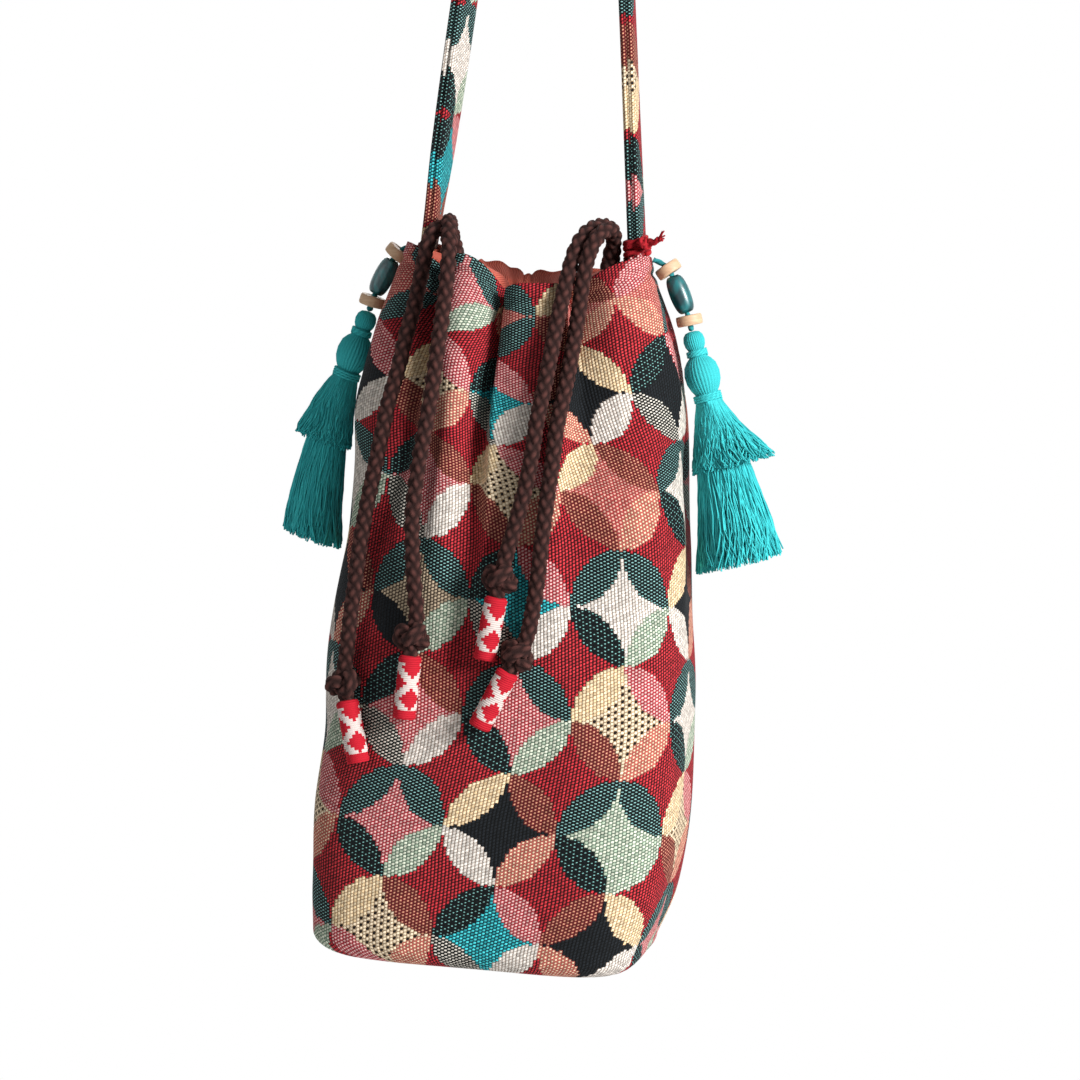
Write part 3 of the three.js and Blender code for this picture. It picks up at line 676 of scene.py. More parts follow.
def yarns(paths, shadesAndTones, radius):
    # many thin yarns as one mesh, each with its own tint
    curve = bpy.data.curves.new("yarns", "CURVE")
    curve.dimensions = "3D"
    curve.bevel_depth = radius
    curve.bevel_resolution = 0
    curve.use_fill_caps = True
    for path in paths:
        spline = curve.splines.new("POLY")
        spline.points.add(len(path) - 1)
        for point, place in zip(spline.points, path):
            point.co = (*place, 1)
    maker = bpy.data.objects.new("yarns", curve)
    scene.collection.objects.link(maker)
    mesh = bpy.data.meshes.new_from_object(maker.evaluated_get(bpy.context.evaluated_depsgraph_get()))
    bpy.data.objects.remove(maker)
    bpy.data.curves.remove(curve)
    each = len(mesh.vertices) // len(paths)
    shadeAndTone = mesh.attributes.new("shadeAndTone", "FLOAT", "POINT")
    for i, value in enumerate(shadeAndTone.data):
        value.value = shadesAndTones[i // each]
    return mesh


def piece(name, bm, material, body, nodes=()):
    bmesh.ops.recalc_face_normals(bm, faces=bm.faces)
    mesh = bpy.data.meshes.new(name)
    bm.to_mesh(mesh)
    bm.free()
    mesh.shade_smooth()
    mesh.materials.append(material)
    made = bpy.data.objects.new(name, mesh)
    scene.collection.objects.link(made)
    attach(made, body)
    if nodes:
        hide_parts(*nodes)
    return made


# Drawstrings: four free braided ends, each with an overhand knot and a woven tube at its tip
cords = {
    "diameter": 0.0054,
    "relief": 0.0011,
    "sides": 32,
    "step": 0.0006,
    "knotToTip": 0.007,
    "tipFill": 0.017,
    # one in so many of its points goes into a thinned copy of the path
    "pathStride": 6,
}
freeEnds = {
    "left_outer": {
        "route": [
            (-0.0398, -0.0042, -0.265), (-0.0366, -0.0035, -0.2638), (-0.032, -0.003, -0.2608),
            (-0.0287, -0.00305, -0.2555), (-0.0298, -0.0046, -0.2495), (-0.0314, -0.0086, -0.2444),
            (-0.0334, -0.0135, -0.242), (-0.035, -0.0185, -0.2432), (-0.0364, -0.0224, -0.248),
            (-0.0372, -0.024, -0.2545), (-0.0382, -0.0252, -0.2625), (-0.0394, -0.027, -0.2715),
            (-0.0414, -0.0304, -0.283), (-0.043, -0.0346, -0.296), (-0.0452, -0.0372, -0.307),
            (-0.0468, -0.0388, -0.3185), (-0.0486, -0.0394, -0.3305), (-0.0505, -0.0395, -0.342),
            (-0.0522, -0.0395, -0.3535), (-0.0534, -0.0398, -0.364), (-0.0542, -0.0402, -0.376),
            (-0.0554, -0.0402, -0.389), (-0.056, -0.0412, -0.403), (-0.0562, -0.0432, -0.4144),
        ],
        "hang": (0.256, -0.1, -0.96),
    },
    "left_inner": {
        "route": [
            (-0.0398, 0.0042, -0.265), (-0.0366, 0.0035, -0.2638), (-0.032, 0.003, -0.2608),
            (-0.0294, 0.00305, -0.2555), (-0.0308, 0.0024, -0.2495), (-0.0316, -0.001, -0.2444),
            (-0.0314, -0.0068, -0.2406), (-0.0304, -0.013, -0.2394), (-0.0292, -0.0195, -0.2412),
            (-0.0277, -0.026, -0.246), (-0.0264, -0.0312, -0.2522), (-0.0259, -0.0344, -0.2595),
            (-0.0261, -0.0356, -0.2665), (-0.0264, -0.037, -0.273), (-0.0266, -0.0402, -0.282),
            (-0.0273, -0.0424, -0.2945), (-0.0282, -0.0444, -0.308), (-0.0299, -0.0454, -0.3215),
            (-0.0318, -0.0456, -0.339), (-0.0323, -0.0458, -0.352), (-0.0313, -0.0463, -0.365),
            (-0.0297, -0.0469, -0.378), (-0.0284, -0.0479, -0.387), (-0.0292, -0.0496, -0.3944),
        ],
        "hang": (-0.05, -0.02, -1),
    },
    "right_inner": {
        "route": [
            (0.0376, 0.0036, -0.2596), (0.0345, 0.0033, -0.2591), (0.0312, 0.0036, -0.2565),
            (0.0302, 0.0048, -0.2515), (0.0303, 0.005, -0.2462), (0.0302, 0.0015, -0.2418),
            (0.0296, -0.004, -0.2388), (0.028, -0.0098, -0.238), (0.0258, -0.0152, -0.2386),
            (0.0234, -0.021, -0.2412), (0.0214, -0.0262, -0.246), (0.02, -0.03, -0.253),
            (0.0184, -0.034, -0.265), (0.0172, -0.0374, -0.275), (0.0163, -0.0406, -0.285),
            (0.0148, -0.044, -0.299), (0.0132, -0.0462, -0.311), (0.0122, -0.0469, -0.3225),
            (0.0106, -0.0473, -0.3345), (0.0072, -0.0478, -0.3505), (0.0046, -0.0486, -0.3615),
            (0.0032, -0.0502, -0.37),
        ],
        "hang": (-0.139, -0.02, -0.99),
    },
    "right_outer": {
        "route": [
            (0.0376, -0.0036, -0.2596), (0.0345, -0.0033, -0.2591), (0.0304, -0.0031, -0.2565),
            (0.0302, -0.0034, -0.2515), (0.0318, -0.006, -0.2455), (0.0328, -0.0105, -0.2414),
            (0.0322, -0.0155, -0.2391), (0.0302, -0.021, -0.2398), (0.028, -0.0264, -0.2436),
            (0.0263, -0.0298, -0.25), (0.0252, -0.0308, -0.258), (0.0246, -0.0316, -0.267),
            (0.0239, -0.0342, -0.278), (0.0233, -0.0382, -0.2885), (0.0223, -0.0418, -0.299),
            (0.0206, -0.045, -0.313), (0.0201, -0.0458, -0.3225), (0.0189, -0.0467, -0.3375),
            (0.0177, -0.0474, -0.354), (0.0169, -0.0479, -0.37), (0.0156, -0.0484, -0.3825),
            (0.0142, -0.0493, -0.3915), (0.0112, -0.0508, -0.3981),
        ],
        "hang": (-0.417, -0.02, -0.908),
    },
}
knotShape = {
    "ring": 0.0016,
    "rise": 0.0021,
    "yarn": 0.0025,
    "relief": 0.0012,
    "tilt": 24,
    "steps": 120,
    "sides": 24,
}
tips = {
    "length": 0.024,
    "radius": 0.0042,
    "sides": 40,
    "levels": 20,
    # width and depth as shares of the radius
    "oval": (1.05, 0.95),
    # distance from the upper end, and share of the radius there
    "shoulder": ((0.0, 0.72), (0.0003, 0.9), (0.001, 1.0)),
    # how far the tube swells and shrinks, as a share of its radius, and how fast
    "waver": (0.03, 1.7),
    # distance from the lower end, and how far inside the radius, round the edge and up the inside
    "hem": ((0.0005, 0.0), (0.0, 0.0003), (0.0, 0.0008), (0.001, 0.001), (0.0144, 0.0011)),
}


def makeKnot(name, place, hang):
    # overhand knot as a trefoil of cord drawn up round the cord that goes through it
    lean = Matrix.Rotation(math.radians(knotShape["tilt"]), 4, "X")
    turned = hang.to_track_quat("Z", "X").to_matrix().to_4x4() @ lean
    ring, rise, steps = (knotShape[k] for k in ("ring", "rise", "steps"))
    path = []
    for i in range(steps + 1):
        t = 2 * math.pi * i / steps
        x, y = math.sin(t) + 2 * math.sin(2 * t), math.cos(t) - 2 * math.cos(2 * t)
        path.append(place + turned @ Vector((x * ring, y * ring, -math.sin(3 * t) * rise)))
    bm = bmesh.new()
    sweep(bm, path, braid(knotShape["yarn"], knotShape["relief"], knotShape["sides"]))
    return piece(name, bm, cordYarn, "bag")


def makeTip(name, start, hang, node):
    # woven tube: down its outside, round its lower edge and back up the inside
    radius, length, sides, levels = (tips[k] for k in ("radius", "length", "sides", "levels"))
    swell, speed = tips["waver"]
    outline = [(down, radius * share) for down, share in tips["shoulder"]]
    outline += [(length * i / levels, radius * (1 + swell * math.sin(i * speed))) for i in range(1, levels)]
    outline += [(length - rise, radius - inward) for rise, inward in tips["hem"]]
    across, up = carried([start, start + hang])[0][2:]
    wide, deep = tips["oval"]
    rings = []
    for down, reach in outline:
        ring = []
        for i in range(sides):
            a, b = polar(reach, i / sides)
            ring.append(start + hang * down + across * (a * wide) + up * (b * deep))
        rings.append(ring)
    bm = bmesh.new()
    loft(bm, rings, lambda level, i, middle: (i / sides, outline[level][0]), (True, True))
    return piece(name, bm, ribbon, "bag", [node])


for end, settings in freeEnds.items():
    hang = Vector(settings["hang"]).normalized()
    knotPlace = Vector(settings["route"][-1])
    tipTop = knotPlace + hang * cords["knotToTip"]
    route = curved(settings["route"] + [tipTop, tipTop + hang * cords["tipFill"]], cords["step"])
    bm = bmesh.new()
    sweep(bm, route, braid(cords["diameter"] / 2, cords["relief"], cords["sides"]))
    cord = piece(end + "_braid", bm, cordYarn, "bag", [end + "_cord"])
    knot = makeKnot(end + "_knot", knotPlace, hang)
    tip = makeTip(end + "_ribbon", tipTop, hang, end + "_tip")
    tuple(route[0])
    lengthOf(route)
    [tuple(p) for p in route[::cords["pathStride"]] + route[-1:]]
    print(end, "cord", round(lengthOf(route), 4))


# Bag cloth: one wall shape for the outer bag and, set inwards, for its lining
bag = {
    "base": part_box("bag_shell")[0].z,
    "height": 0.277,
    "rounding": 0.012,
    "cloth": 0.0012,
    # how far the rim hangs down at a share of the way round, from the left seam over the front
    "rimSag": [
        (0.0, 0.0), (0.05, 0.001), (0.1, 0.0038), (0.14, 0.0064), (0.165, 0.006), (0.19, 0.0062),
        (0.225, 0.0138), (0.2625, 0.0152), (0.3, 0.0124), (0.35, 0.0073), (0.41, 0.0032), (0.5, 0.0),
        (0.59, 0.0032), (0.66, 0.0078), (0.75, 0.0112), (0.84, 0.0078), (0.91, 0.0032), (1.0, 0.0),
    ],
    # depth of a fold, sharpness of its ridge and valley, and how much flatter it is how close to a side seam
    "fold": 0.0044,
    "ridgePower": 0.75,
    "valleyPower": 0.85,
    "seamFlat": (0.4, 8),
    # rise of the rim on a ridge, from which height, the lowest wave that counts, and the share at the back
    "ruffle": 0.003,
    "ruffleFrom": 0.25,
    "ruffleLow": -1.6,
    "backRuffle": 0.3,
    # depth of the dents, share of it that gathering takes, then the grain round and up and weight of each
    "slack": 0.0011,
    "slackLost": 0.6,
    "dents": ((26, 22, 1.0), (60, 40, 0.5)),
    # depth of the creases, the heights between which they set in, their grain round and up, and its start
    "crease": 0.008,
    "creaseRise": (0.12, 0.21),
    "creaseGrain": (45, 9, 3),
    # dent along the casing's upper stitching: its height, depth and reach up and down
    "stitchLine": (0.2705, 0.0011, 0.0013),
    # the bottom: rise towards its edge, share of the reach that the rounded edge takes, and their rings
    "baseLift": 0.0035,
    "edgeShare": 0.19,
    "flatRings": (0.03, 0.25, 0.5, 0.75, 0.9),
    "edgeRings": 8,
    # how square the section is at the base, from a height up, and at the mouth
    "baseSquare": 5,
    "bodySquare": 3,
    "bodyFrom": 0.1,
    "mouthSquare": 2.2,
    "around": 288,
    "levels": 96,
    "denseFrom": 0.262,
    "denseLevels": 22,
    # height where the cloth's width is measured, and the cloth's own height
    "belly": 0.06,
    "flatHeight": 0.3,
    "ridges": (0.09, 0.18, 0.2625, 0.41, 0.59, 0.66, 0.74, 0.82, 0.91),
    "valleyReach": 0.42,
    # how deep the valley after each ridge goes, and how far its sides lean together
    "valleys": (2.0, 3.7, 2.4, 0.9, 1.0, 1.3, 1.4, 1.2, 0.9),
    "tucks": (0.0012, 0.0021, 0.0026, 0, 0, 0.001, 0.001, 0.001, 0),
    # how far the cloth's pattern has slipped sideways at heights up the front, and its slack above the belly
    "slip": [
        (0.0, 0.0023), (0.06, 0.0012), (0.103, 0.0058), (0.146, 0.004), (0.189, -0.001), (0.232, -0.005),
        (0.3, 0.0),
    ],
    "slackStart": 0.185,
    "slackStretch": 1.33,
    # height, reach to the left, reach to the right, half depth, gather
    "outline": [
        (0.012, 0.0688, 0.0600, 0.0440, 0.0),
        (0.030, 0.0702, 0.0662, 0.0455, 0.0),
        (0.060, 0.0716, 0.0712, 0.0465, 0.0),
        (0.090, 0.0700, 0.0708, 0.0460, 0.0),
        (0.120, 0.0698, 0.0693, 0.0450, 0.0),
        (0.142, 0.0683, 0.0685, 0.0444, 0.02),
        (0.177, 0.0650, 0.0672, 0.0432, 0.08),
        (0.197, 0.0640, 0.0655, 0.0424, 0.2),
        (0.215, 0.0642, 0.0637, 0.0414, 0.36),
        (0.231, 0.0620, 0.0612, 0.0392, 0.6),
        (0.246, 0.0580, 0.0575, 0.0364, 0.85),
        (0.258, 0.0537, 0.0535, 0.0336, 1.0),
        (0.268, 0.0500, 0.0500, 0.0311, 1.0),
        (0.277, 0.0470, 0.0470, 0.0290, 1.0),
    ],
}


def tableAt(table, height):
    # every column of a table at one height, smooth between its lines
    height = min(max(height, table[0][0]), table[-1][0])
    spot = max(i for i in range(len(table) - 1) if table[i][0] <= height)
    low, high = table[spot], table[spot + 1]
    gap = high[0] - low[0]
    way = (height - low[0]) / gap
    before, after = table[max(spot - 1, 0)], table[min(spot + 2, len(table) - 1)]
    made = []
    for c in range(1, len(low)):
        rise = (high[c] - before[c]) / (high[0] - before[0]) * gap
        fall = (after[c] - low[c]) / (after[0] - low[0]) * gap
        made.append((2 * way ** 3 - 3 * way ** 2 + 1) * low[c] + (way ** 3 - 2 * way ** 2 + way) * rise
                    + (3 * way ** 2 - 2 * way ** 3) * high[c] + (way ** 3 - way ** 2) * fall)
    return made


def foldWave(share):
    # 1 on a ridge, down to the valley's own depth between two ridges, flatter at the side seams,
    # and how far the two sides of the valley lean towards each other
    ridges = bag["ridges"]
    count = len(ridges)
    before = max((i for i in range(count) if ridges[i] <= share), default=count - 1)
    low = ridges[before] - (1 if ridges[before] > share else 0)
    high = ridges[(before + 1) % count]
    high += 1 if high <= low else 0
    turn = 2 * math.pi * (share - low) / (high - low)
    wave = 2 * (0.5 + 0.5 * math.cos(turn)) ** bag["ridgePower"] - 1
    if wave < 0:
        wave = -abs(wave) ** bag["valleyPower"] * bag["valleys"][before]
    flat, nearness = bag["seamFlat"]
    wave *= 1 - flat * abs(math.cos(2 * math.pi * share)) ** nearness
    return wave, bag["tucks"][before] * math.sin(turn)


def wallPoint(share, height, inset=0.0, follow=1.0, slack=1.0):
    # a point of the wall, set inwards, with a share of its folds and a share of its dents and creases
    left, right, depth, gather = tableAt(bag["outline"], height)
    gather = min(max(gather, 0.0), 1.0)
    turn = 2 * math.pi * share
    c, s = math.cos(turn), math.sin(turn)
    body = mix(bag["baseSquare"], bag["bodySquare"], smooth(0, bag["bodyFrom"], height))
    power = mix(body, bag["mouthSquare"], gather)
    reach = (abs(c) ** power + abs(s) ** power) ** (-1 / power)
    x = -((left if c > 0 else right) - inset) * c * reach
    y = -(depth - inset) * s * reach
    wave, tuck = foldWave(share)
    tuck *= math.sqrt(gather) * follow
    outward = Vector((x, y)).normalized()
    ruffled = max(wave, bag["ruffleLow"]) * smooth(bag["ruffleFrom"], bag["height"], height)
    z = bag["base"] + height - tableAt(bag["rimSag"], share % 1)[0] * gather
    z += bag["ruffle"] * ruffled * follow * (1 if s > 0 else bag["backRuffle"])
    reached = gather if wave > 0 else gather ** bag["valleyReach"]
    moved = bag["fold"] * reached * follow * wave
    dent = sum(w * noise.noise(Vector((x * g, y * g, height * up))) for g, up, w in bag["dents"])
    moved += bag["slack"] * slack * dent * (1 - bag["slackLost"] * gather)
    grainRound, grainUp, start = bag["creaseGrain"]
    crease = max(0.0, noise.noise(Vector((x * grainRound, y * grainRound, height * grainUp + start))))
    moved -= bag["crease"] * slack * crease * smooth(*bag["creaseRise"], height)
    line, dip, reachUp = bag["stitchLine"]
    moved -= dip * slack * math.exp(-((height - line) / reachUp) ** 2)
    return Vector((x + outward.x * moved - outward.y * tuck, y + outward.y * moved + outward.x * tuck, z))


def cupRings(heights, inset, follow):
    # the flat bottom from its middle out, its rounded edge, then the wall up to the rim
    shares = [i / bag["around"] for i in range(bag["around"])]
    edge = [wallPoint(share, bag["rounding"], inset(bag["rounding"], share)) for share in shares]
    floor = bag["base"] + inset(0, 0)
    turn = bag["rounding"] - inset(0, 0) - bag["baseLift"]
    rings = []
    for spread in bag["flatRings"]:
        lift = floor + bag["baseLift"] * spread ** 3
        shrink = (1 - bag["edgeShare"]) * spread
        rings.append([Vector((p.x * shrink, p.y * shrink, lift)) for p in edge])
    for step in range(bag["edgeRings"]):
        angle = math.pi / 2 * step / bag["edgeRings"]
        shrink = 1 - bag["edgeShare"] * (1 - math.sin(angle))
        foot = floor + bag["baseLift"] + turn * (1 - math.cos(angle))
        rings.append([Vector((p.x * shrink, p.y * shrink, foot)) for p in edge])
    for height in heights:
        rings.append([wallPoint(share, height, inset(height, share), follow(height)) for share in shares])
    return rings


def clothMarks(rings, panel):
    # metres of cloth across each half from its middle, and up the front
    count = bag["around"]
    quarter, half = count // 4, count // 2
    edgeStart = len(bag["flatRings"])
    wallStart = edgeStart + bag["edgeRings"]
    ups = [bag["rounding"]] * len(rings)
    for level in range(wallStart + 1, len(rings)):
        rise = (rings[level][quarter] - rings[level - 1][quarter]).length
        stretch = bag["slackStretch"] if ups[level - 1] > bag["slackStart"] else 1
        ups[level] = ups[level - 1] + rise * stretch
    for level in range(wallStart - 1, -1, -1):
        ups[level] = ups[level + 1] - (rings[level][quarter] - rings[level + 1][quarter]).length
    across = [runsRound(ring) for ring in rings]

    def uvOf(level, i, middle):
        runs = across[max(level, edgeStart)]
        slip = tableAt(bag["slip"], ups[level])[0]
        if level < edgeStart:
            point = rings[level][i % count]
            return (point.x - slip, ups[edgeStart] - point.y + rings[edgeStart][quarter].y)
        if middle < half:
            return ((runs[i] / runs[half] - 0.5) * panel - slip, ups[level])
        back = (runs[i] - runs[half]) / (runs[count] - runs[half])
        return ((back + 0.5) * panel - slip * (1 - back), ups[level])

    return uvOf


def thicken(made, cloth):
    thick = made.modifiers.new("thickness", "SOLIDIFY")
    thick.thickness = cloth
    thick.offset = -1
    print(made.name, "area", round(sum(p.area for p in made.data.polygons), 4))


def makeShell():
    levels, dense, count = bag["levels"], bag["denseLevels"], bag["around"]
    heights = [mix(bag["rounding"], bag["denseFrom"], i / levels) for i in range(levels)]
    heights += [mix(bag["denseFrom"], bag["height"], i / dense) for i in range(dense + 1)]
    rings = cupRings(heights, lambda height, share: 0.0, lambda height: 1.0)
    panel = lengthOf([wallPoint(i / count, bag["belly"]) for i in range(count // 2 + 1)])
    bm = bmesh.new()
    loft(bm, rings, clothMarks(rings, panel), (True, False))
    made = piece("bag_cloth", bm, clothMaterial, "bag", ["bag_shell"])
    thicken(made, bag["cloth"])
    print("panel", round(panel, 4))
    return made, panel


shell, panelWidth = makeShell()

# Lining: follows the wall up to a line of stitches, then stands off it as the casing's inner side
liningSettings = {
    "ease": 0.0022,
    "cloth": 0.0008,
    "panel": 0.2,
    "levels": 50,
    "casingLevels": 40,
    "stitch": 0.251,
    "casingLow": 0.257,
    "casingHigh": 0.271,
    "top": 0.2755,
    "casingInset": 0.0176,
    # share of the wall's folds below the casing and at it
    "follow": 0.95,
    "casingFollow": 0.45,
    # room at each side for the strap's foot, and how close to the side it is
    "pocket": 0.0069,
    "pocketPower": 6,
    # at the back of the mouth: rise, reach backwards, levels, and how far round from the sides
    "roll": 0.0018,
    "rollBack": 0.0016,
    "rollLevels": 10,
    "rollFrom": 0.35,
    # gathers: their number, what makes them uneven, depth in the casing and at the rim
    "puckers": 38,
    "uneven": ((1.6, 5), (1.0, 9)),
    "pucker": 0.0008,
    "rimPucker": 0.0006,
    # cord exits: height, size, and how far from the middle at least
    "slotHeight": 0.264,
    "slot": (0.022, 0.014),
    "slotBeyond": 0.02,
}


def inCasing(height):
    s = liningSettings
    return smooth(s["stitch"], s["casingLow"], height) * (1 - smooth(s["casingHigh"], s["top"], height))


def liningFollow(height):
    return mix(liningSettings["follow"], liningSettings["casingFollow"], inCasing(height))


def crimp(share):
    # gathers of the lining, not quite even
    turn = 2 * math.pi * share
    drift = sum(reach * math.sin(times * turn) for reach, times in liningSettings["uneven"])
    return math.sin(liningSettings["puckers"] * turn + drift)


def liningInset(height, share):
    s = liningSettings
    above = smooth(s["stitch"], s["casingLow"], height)
    pocket = s["pocket"] * abs(math.cos(2 * math.pi * share)) ** s["pocketPower"] * above
    inward = (s["casingInset"] - s["ease"]) * inCasing(height)
    return s["ease"] + max(inward, pocket) + s["pucker"] * above * crimp(share)


def liftBack(rings):
    # at the back of the mouth the lining stands a little above the outer cloth and rolls over it
    s = liningSettings
    levels = s["rollLevels"]
    for step, ring in enumerate(rings[-levels:], 1):
        for i, point in enumerate(ring):
            share = i / len(ring)
            back = smooth(0.0, s["rollFrom"], -math.sin(2 * math.pi * share))
            way = smooth(0.0, 1.0, step / levels) * back
            gathered = s["rimPucker"] * crimp(share)
            point.z += (s["roll"] + gathered) * way
            point.y += (s["rollBack"] + gathered) * way


def cutSlots(bm):
    # rounded openings on both sides, where the cords come out
    s = liningSettings
    halfWide, halfHigh = s["slot"][0] / 2, s["slot"][1] / 2
    holes = []
    for face in bm.faces:
        middle = face.calc_center_median()
        up = middle.z - bag["base"] - s["slotHeight"]
        aside = max(abs(middle.y) - (halfWide - halfHigh), 0)
        if abs(middle.x) > s["slotBeyond"] and math.hypot(aside, up) < halfHigh:
            holes.append(face)
    bmesh.ops.delete(bm, geom=holes, context="FACES")


def makeLining():
    s = liningSettings
    levels, casing = s["levels"], s["casingLevels"]
    heights = [mix(bag["rounding"], s["stitch"], i / levels) for i in range(levels + 1)]
    heights += [mix(s["stitch"], s["top"], i / casing) for i in range(1, casing + 1)]
    rings = cupRings(heights, liningInset, liningFollow)
    liftBack(rings)
    bm = bmesh.new()
    loft(bm, rings, clothMarks(rings, s["panel"]), (True, False))
    cutSlots(bm)
    made = piece("lining_cloth", bm, lining, "bag", ["lining"])
    thicken(made, s["cloth"])
    return made


liningPiece = makeLining()

# Casing runs of the drawstrings, between the wall and the lining
casing = {
    # height of each run, and the share of the way round where its cord comes out
    "runs": {"left": (0.2605, 0.0), "right": (0.2675, 0.5)},
    "gap": 0.06,
    "inset": 0.0134,
    "steps": 240,
    "sides": 16,
}
for side, (height, start) in casing["runs"].items():
    path = []
    for i in range(casing["steps"] + 1):
        share = start + mix(casing["gap"], 1 - casing["gap"], i / casing["steps"])
        path.append(wallPoint(share, height, casing["inset"], liningSettings["casingFollow"], 0))
    bm = bmesh.new()
    sweep(bm, path, braid(cords["diameter"] / 2, cords["relief"], casing["sides"]))
    piece(side + "_casing_braid", bm, cordYarn, "bag", [side + "_casing_cord"])
print("bag made")


# Shoulder strap: a folded band of the same cloth, edge on to the front, over a peg
strap = {
    "foot": (0.04035, -0.248),
    "tuck": 0.005,
    "hook": 0.015,
    "thickness": 0.0055,
    "width": 0.020,
    "step": 0.0015,
    "sides": 44,
    "archSteps": 40,
    # roundness of the section across its width and its thickness
    "wideCurve": 0.35,
    "thickCurve": 0.6,
    # groove between the layers along both edges: depth, reach and how close to the edge
    "groove": (0.0012, 0.28, 4),
    # turn of the band about its length, at shares of the way from the left foot to the right foot
    "twist": ((0.0, 6), (0.03, 3), (0.08, -5), (0.18, -8), (0.5, 0), (0.82, -4), (1.0, -1)),
    # how far the pattern of one layer lies from the other's
    "layerShift": 0.037,
}


def strapRoute():
    # leg up from the left foot, arch, leg down to the right foot, along the band's middle
    radius = strap["hook"] + strap["thickness"] / 2
    centre = Vector((0, 0, -strap["hook"]))
    foot = Vector((strap["foot"][0], 0, strap["foot"][1])) - centre
    lean = math.atan2(foot.x, -foot.z) - math.asin(radius / foot.length)
    touch = Vector((math.cos(lean), 0, math.sin(lean))) * radius
    down = Vector((math.sin(lean), 0, -math.cos(lean)))
    reach = (foot - touch).length + strap["tuck"]
    steps = round(reach / strap["step"])
    rightLeg = [centre + touch + down * (reach * (i + 1) / steps) for i in range(steps)]
    leftLeg = [Vector((-p.x, 0, p.z)) for p in reversed(rightLeg)]
    arch = []
    for i in range(strap["archSteps"] + 1):
        angle = mix(math.pi - lean, lean, i / strap["archSteps"])
        arch.append(centre + Vector((math.cos(angle), 0, math.sin(angle))) * radius)
    return leftLeg + arch + rightLeg


def squared(value, power):
    # a sine or cosine drawn out towards its ends, so that a round becomes a rounded oblong
    return math.copysign(abs(value) ** power, value)


def strapSection():
    # two folded layers, with a groove between them along both edges
    halfWide, halfThick = strap["width"] / 2, strap["thickness"] / 2
    deep, reach, nearness = strap["groove"]
    ring = []
    for i in range(strap["sides"]):
        turn = 2 * math.pi * i / strap["sides"]
        c, s = math.cos(turn), math.sin(turn)
        thick = squared(s, strap["thickCurve"])
        groove = deep * math.exp(-(thick / reach) ** 2) * abs(c) ** nearness
        ring.append(Vector((squared(c, strap["wideCurve"]) * (halfWide - groove), halfThick * thick)))
    return ring


def makeStrap():
    route = strapRoute()
    length = lengthOf(route)
    sides = strap["sides"]
    outline = strapSection()
    marks = runsRound(outline)

    def turnedSection(run):
        angle = math.radians(tableAt(strap["twist"], run / length)[0])
        c, s = math.cos(angle), math.sin(angle)
        return [(p.x * c - p.y * s, p.x * s + p.y * c, plainShadeAndTone) for p in outline]

    bm = bmesh.new()
    sweep(bm, route, turnedSection, Vector((0, 1, 0)))
    layer = bm.loops.layers.uv.verify()
    for face in bm.faces:
        middle = sum(loop[layer].uv.x for loop in face.loops) / len(face.loops)
        shift = strap["layerShift"] if middle > 0.5 else 0
        for loop in face.loops:
            share, run = loop[layer].uv
            loop[layer].uv = (marks[round(share * sides)] + shift, run)
    made = piece("strap_band", bm, strapMaterial, "bag", ["shoulder_strap"])
    return made, length


strapPiece, strapLength = makeStrap()

# Red yarn wound round the right foot of the strap, with a knot and a frayed tail
tie = {
    # yarn: radius, sides, plies and length of a twist
    "yarn": (0.0011, 10, 3, 0.004),
    "middle": (0.0401, 0, -0.2455),
    "lean": 5.5,
    "turns": 4,
    "turnSteps": 48,
    "halfWide": 0.0108,
    "halfThick": 0.0037,
    "halfHigh": 0.0028,
    "corners": 0.6,
    # how far a turn strays up and down, and how fast
    "stray": (0.0007, 1.3),
    "knot": (0.0447, -0.0118, -0.2438),
    "knotLoop": 0.0023,
    "laps": 4,
    "lapSteps": 32,
    # from lap to lap of the knot: turn about X and Y, shrinking and rise, and how flat a lap is
    "lapTurn": (0.9, 0.7),
    "lapShrink": 0.12,
    "lapRise": 0.0004,
    "lapFlat": 0.8,
    "tail": ((0, 0, 0), (0.0022, -0.0016, 0.0012), (0.0042, -0.0026, 0.0008), (0.0058, -0.0034, 0.0024)),
    "tailSwell": 1.1,
    "tailStep": 0.0005,
    # frayed threads: number, radius, reach of their ends past the tail's, how soon they part, and tints
    "fray": 14,
    "thread": 0.0003,
    "frayReach": ((0.0008, 0.003), (-0.002, 0.0012), (-0.0012, 0.0032)),
    "frayPart": 0.3,
    "frayTint": (0.3, 1),
}


def tieTurns():
    middle = Vector(tie["middle"])
    lean = Matrix.Rotation(math.radians(-tie["lean"]), 3, "Y")
    steps = tie["turnSteps"] * tie["turns"]
    stray, speed = tie["stray"]
    path = []
    for i in range(steps + 1):
        turn = 2 * math.pi * i / tie["turnSteps"]
        x = tie["halfThick"] * squared(math.cos(turn), tie["corners"])
        y = tie["halfWide"] * squared(math.sin(turn), tie["corners"])
        z = mix(-tie["halfHigh"], tie["halfHigh"], i / steps) + stray * math.sin(turn * speed)
        path.append(middle + lean @ Vector((x, y, z)))
    return path


def tieLap(lap):
    aboutX, aboutY = tie["lapTurn"]
    tip = Matrix.Rotation(lap * aboutX, 3, "X") @ Matrix.Rotation(lap * aboutY, 3, "Y")
    reach = tie["knotLoop"] * (1 - tie["lapShrink"] * lap)
    path = []
    for i in range(tie["lapSteps"] + 1):
        a, b = polar(reach, i / tie["lapSteps"])
        path.append(Vector(tie["knot"]) + tip @ Vector((a, b * tie["lapFlat"], tie["lapRise"] * lap)))
    return path


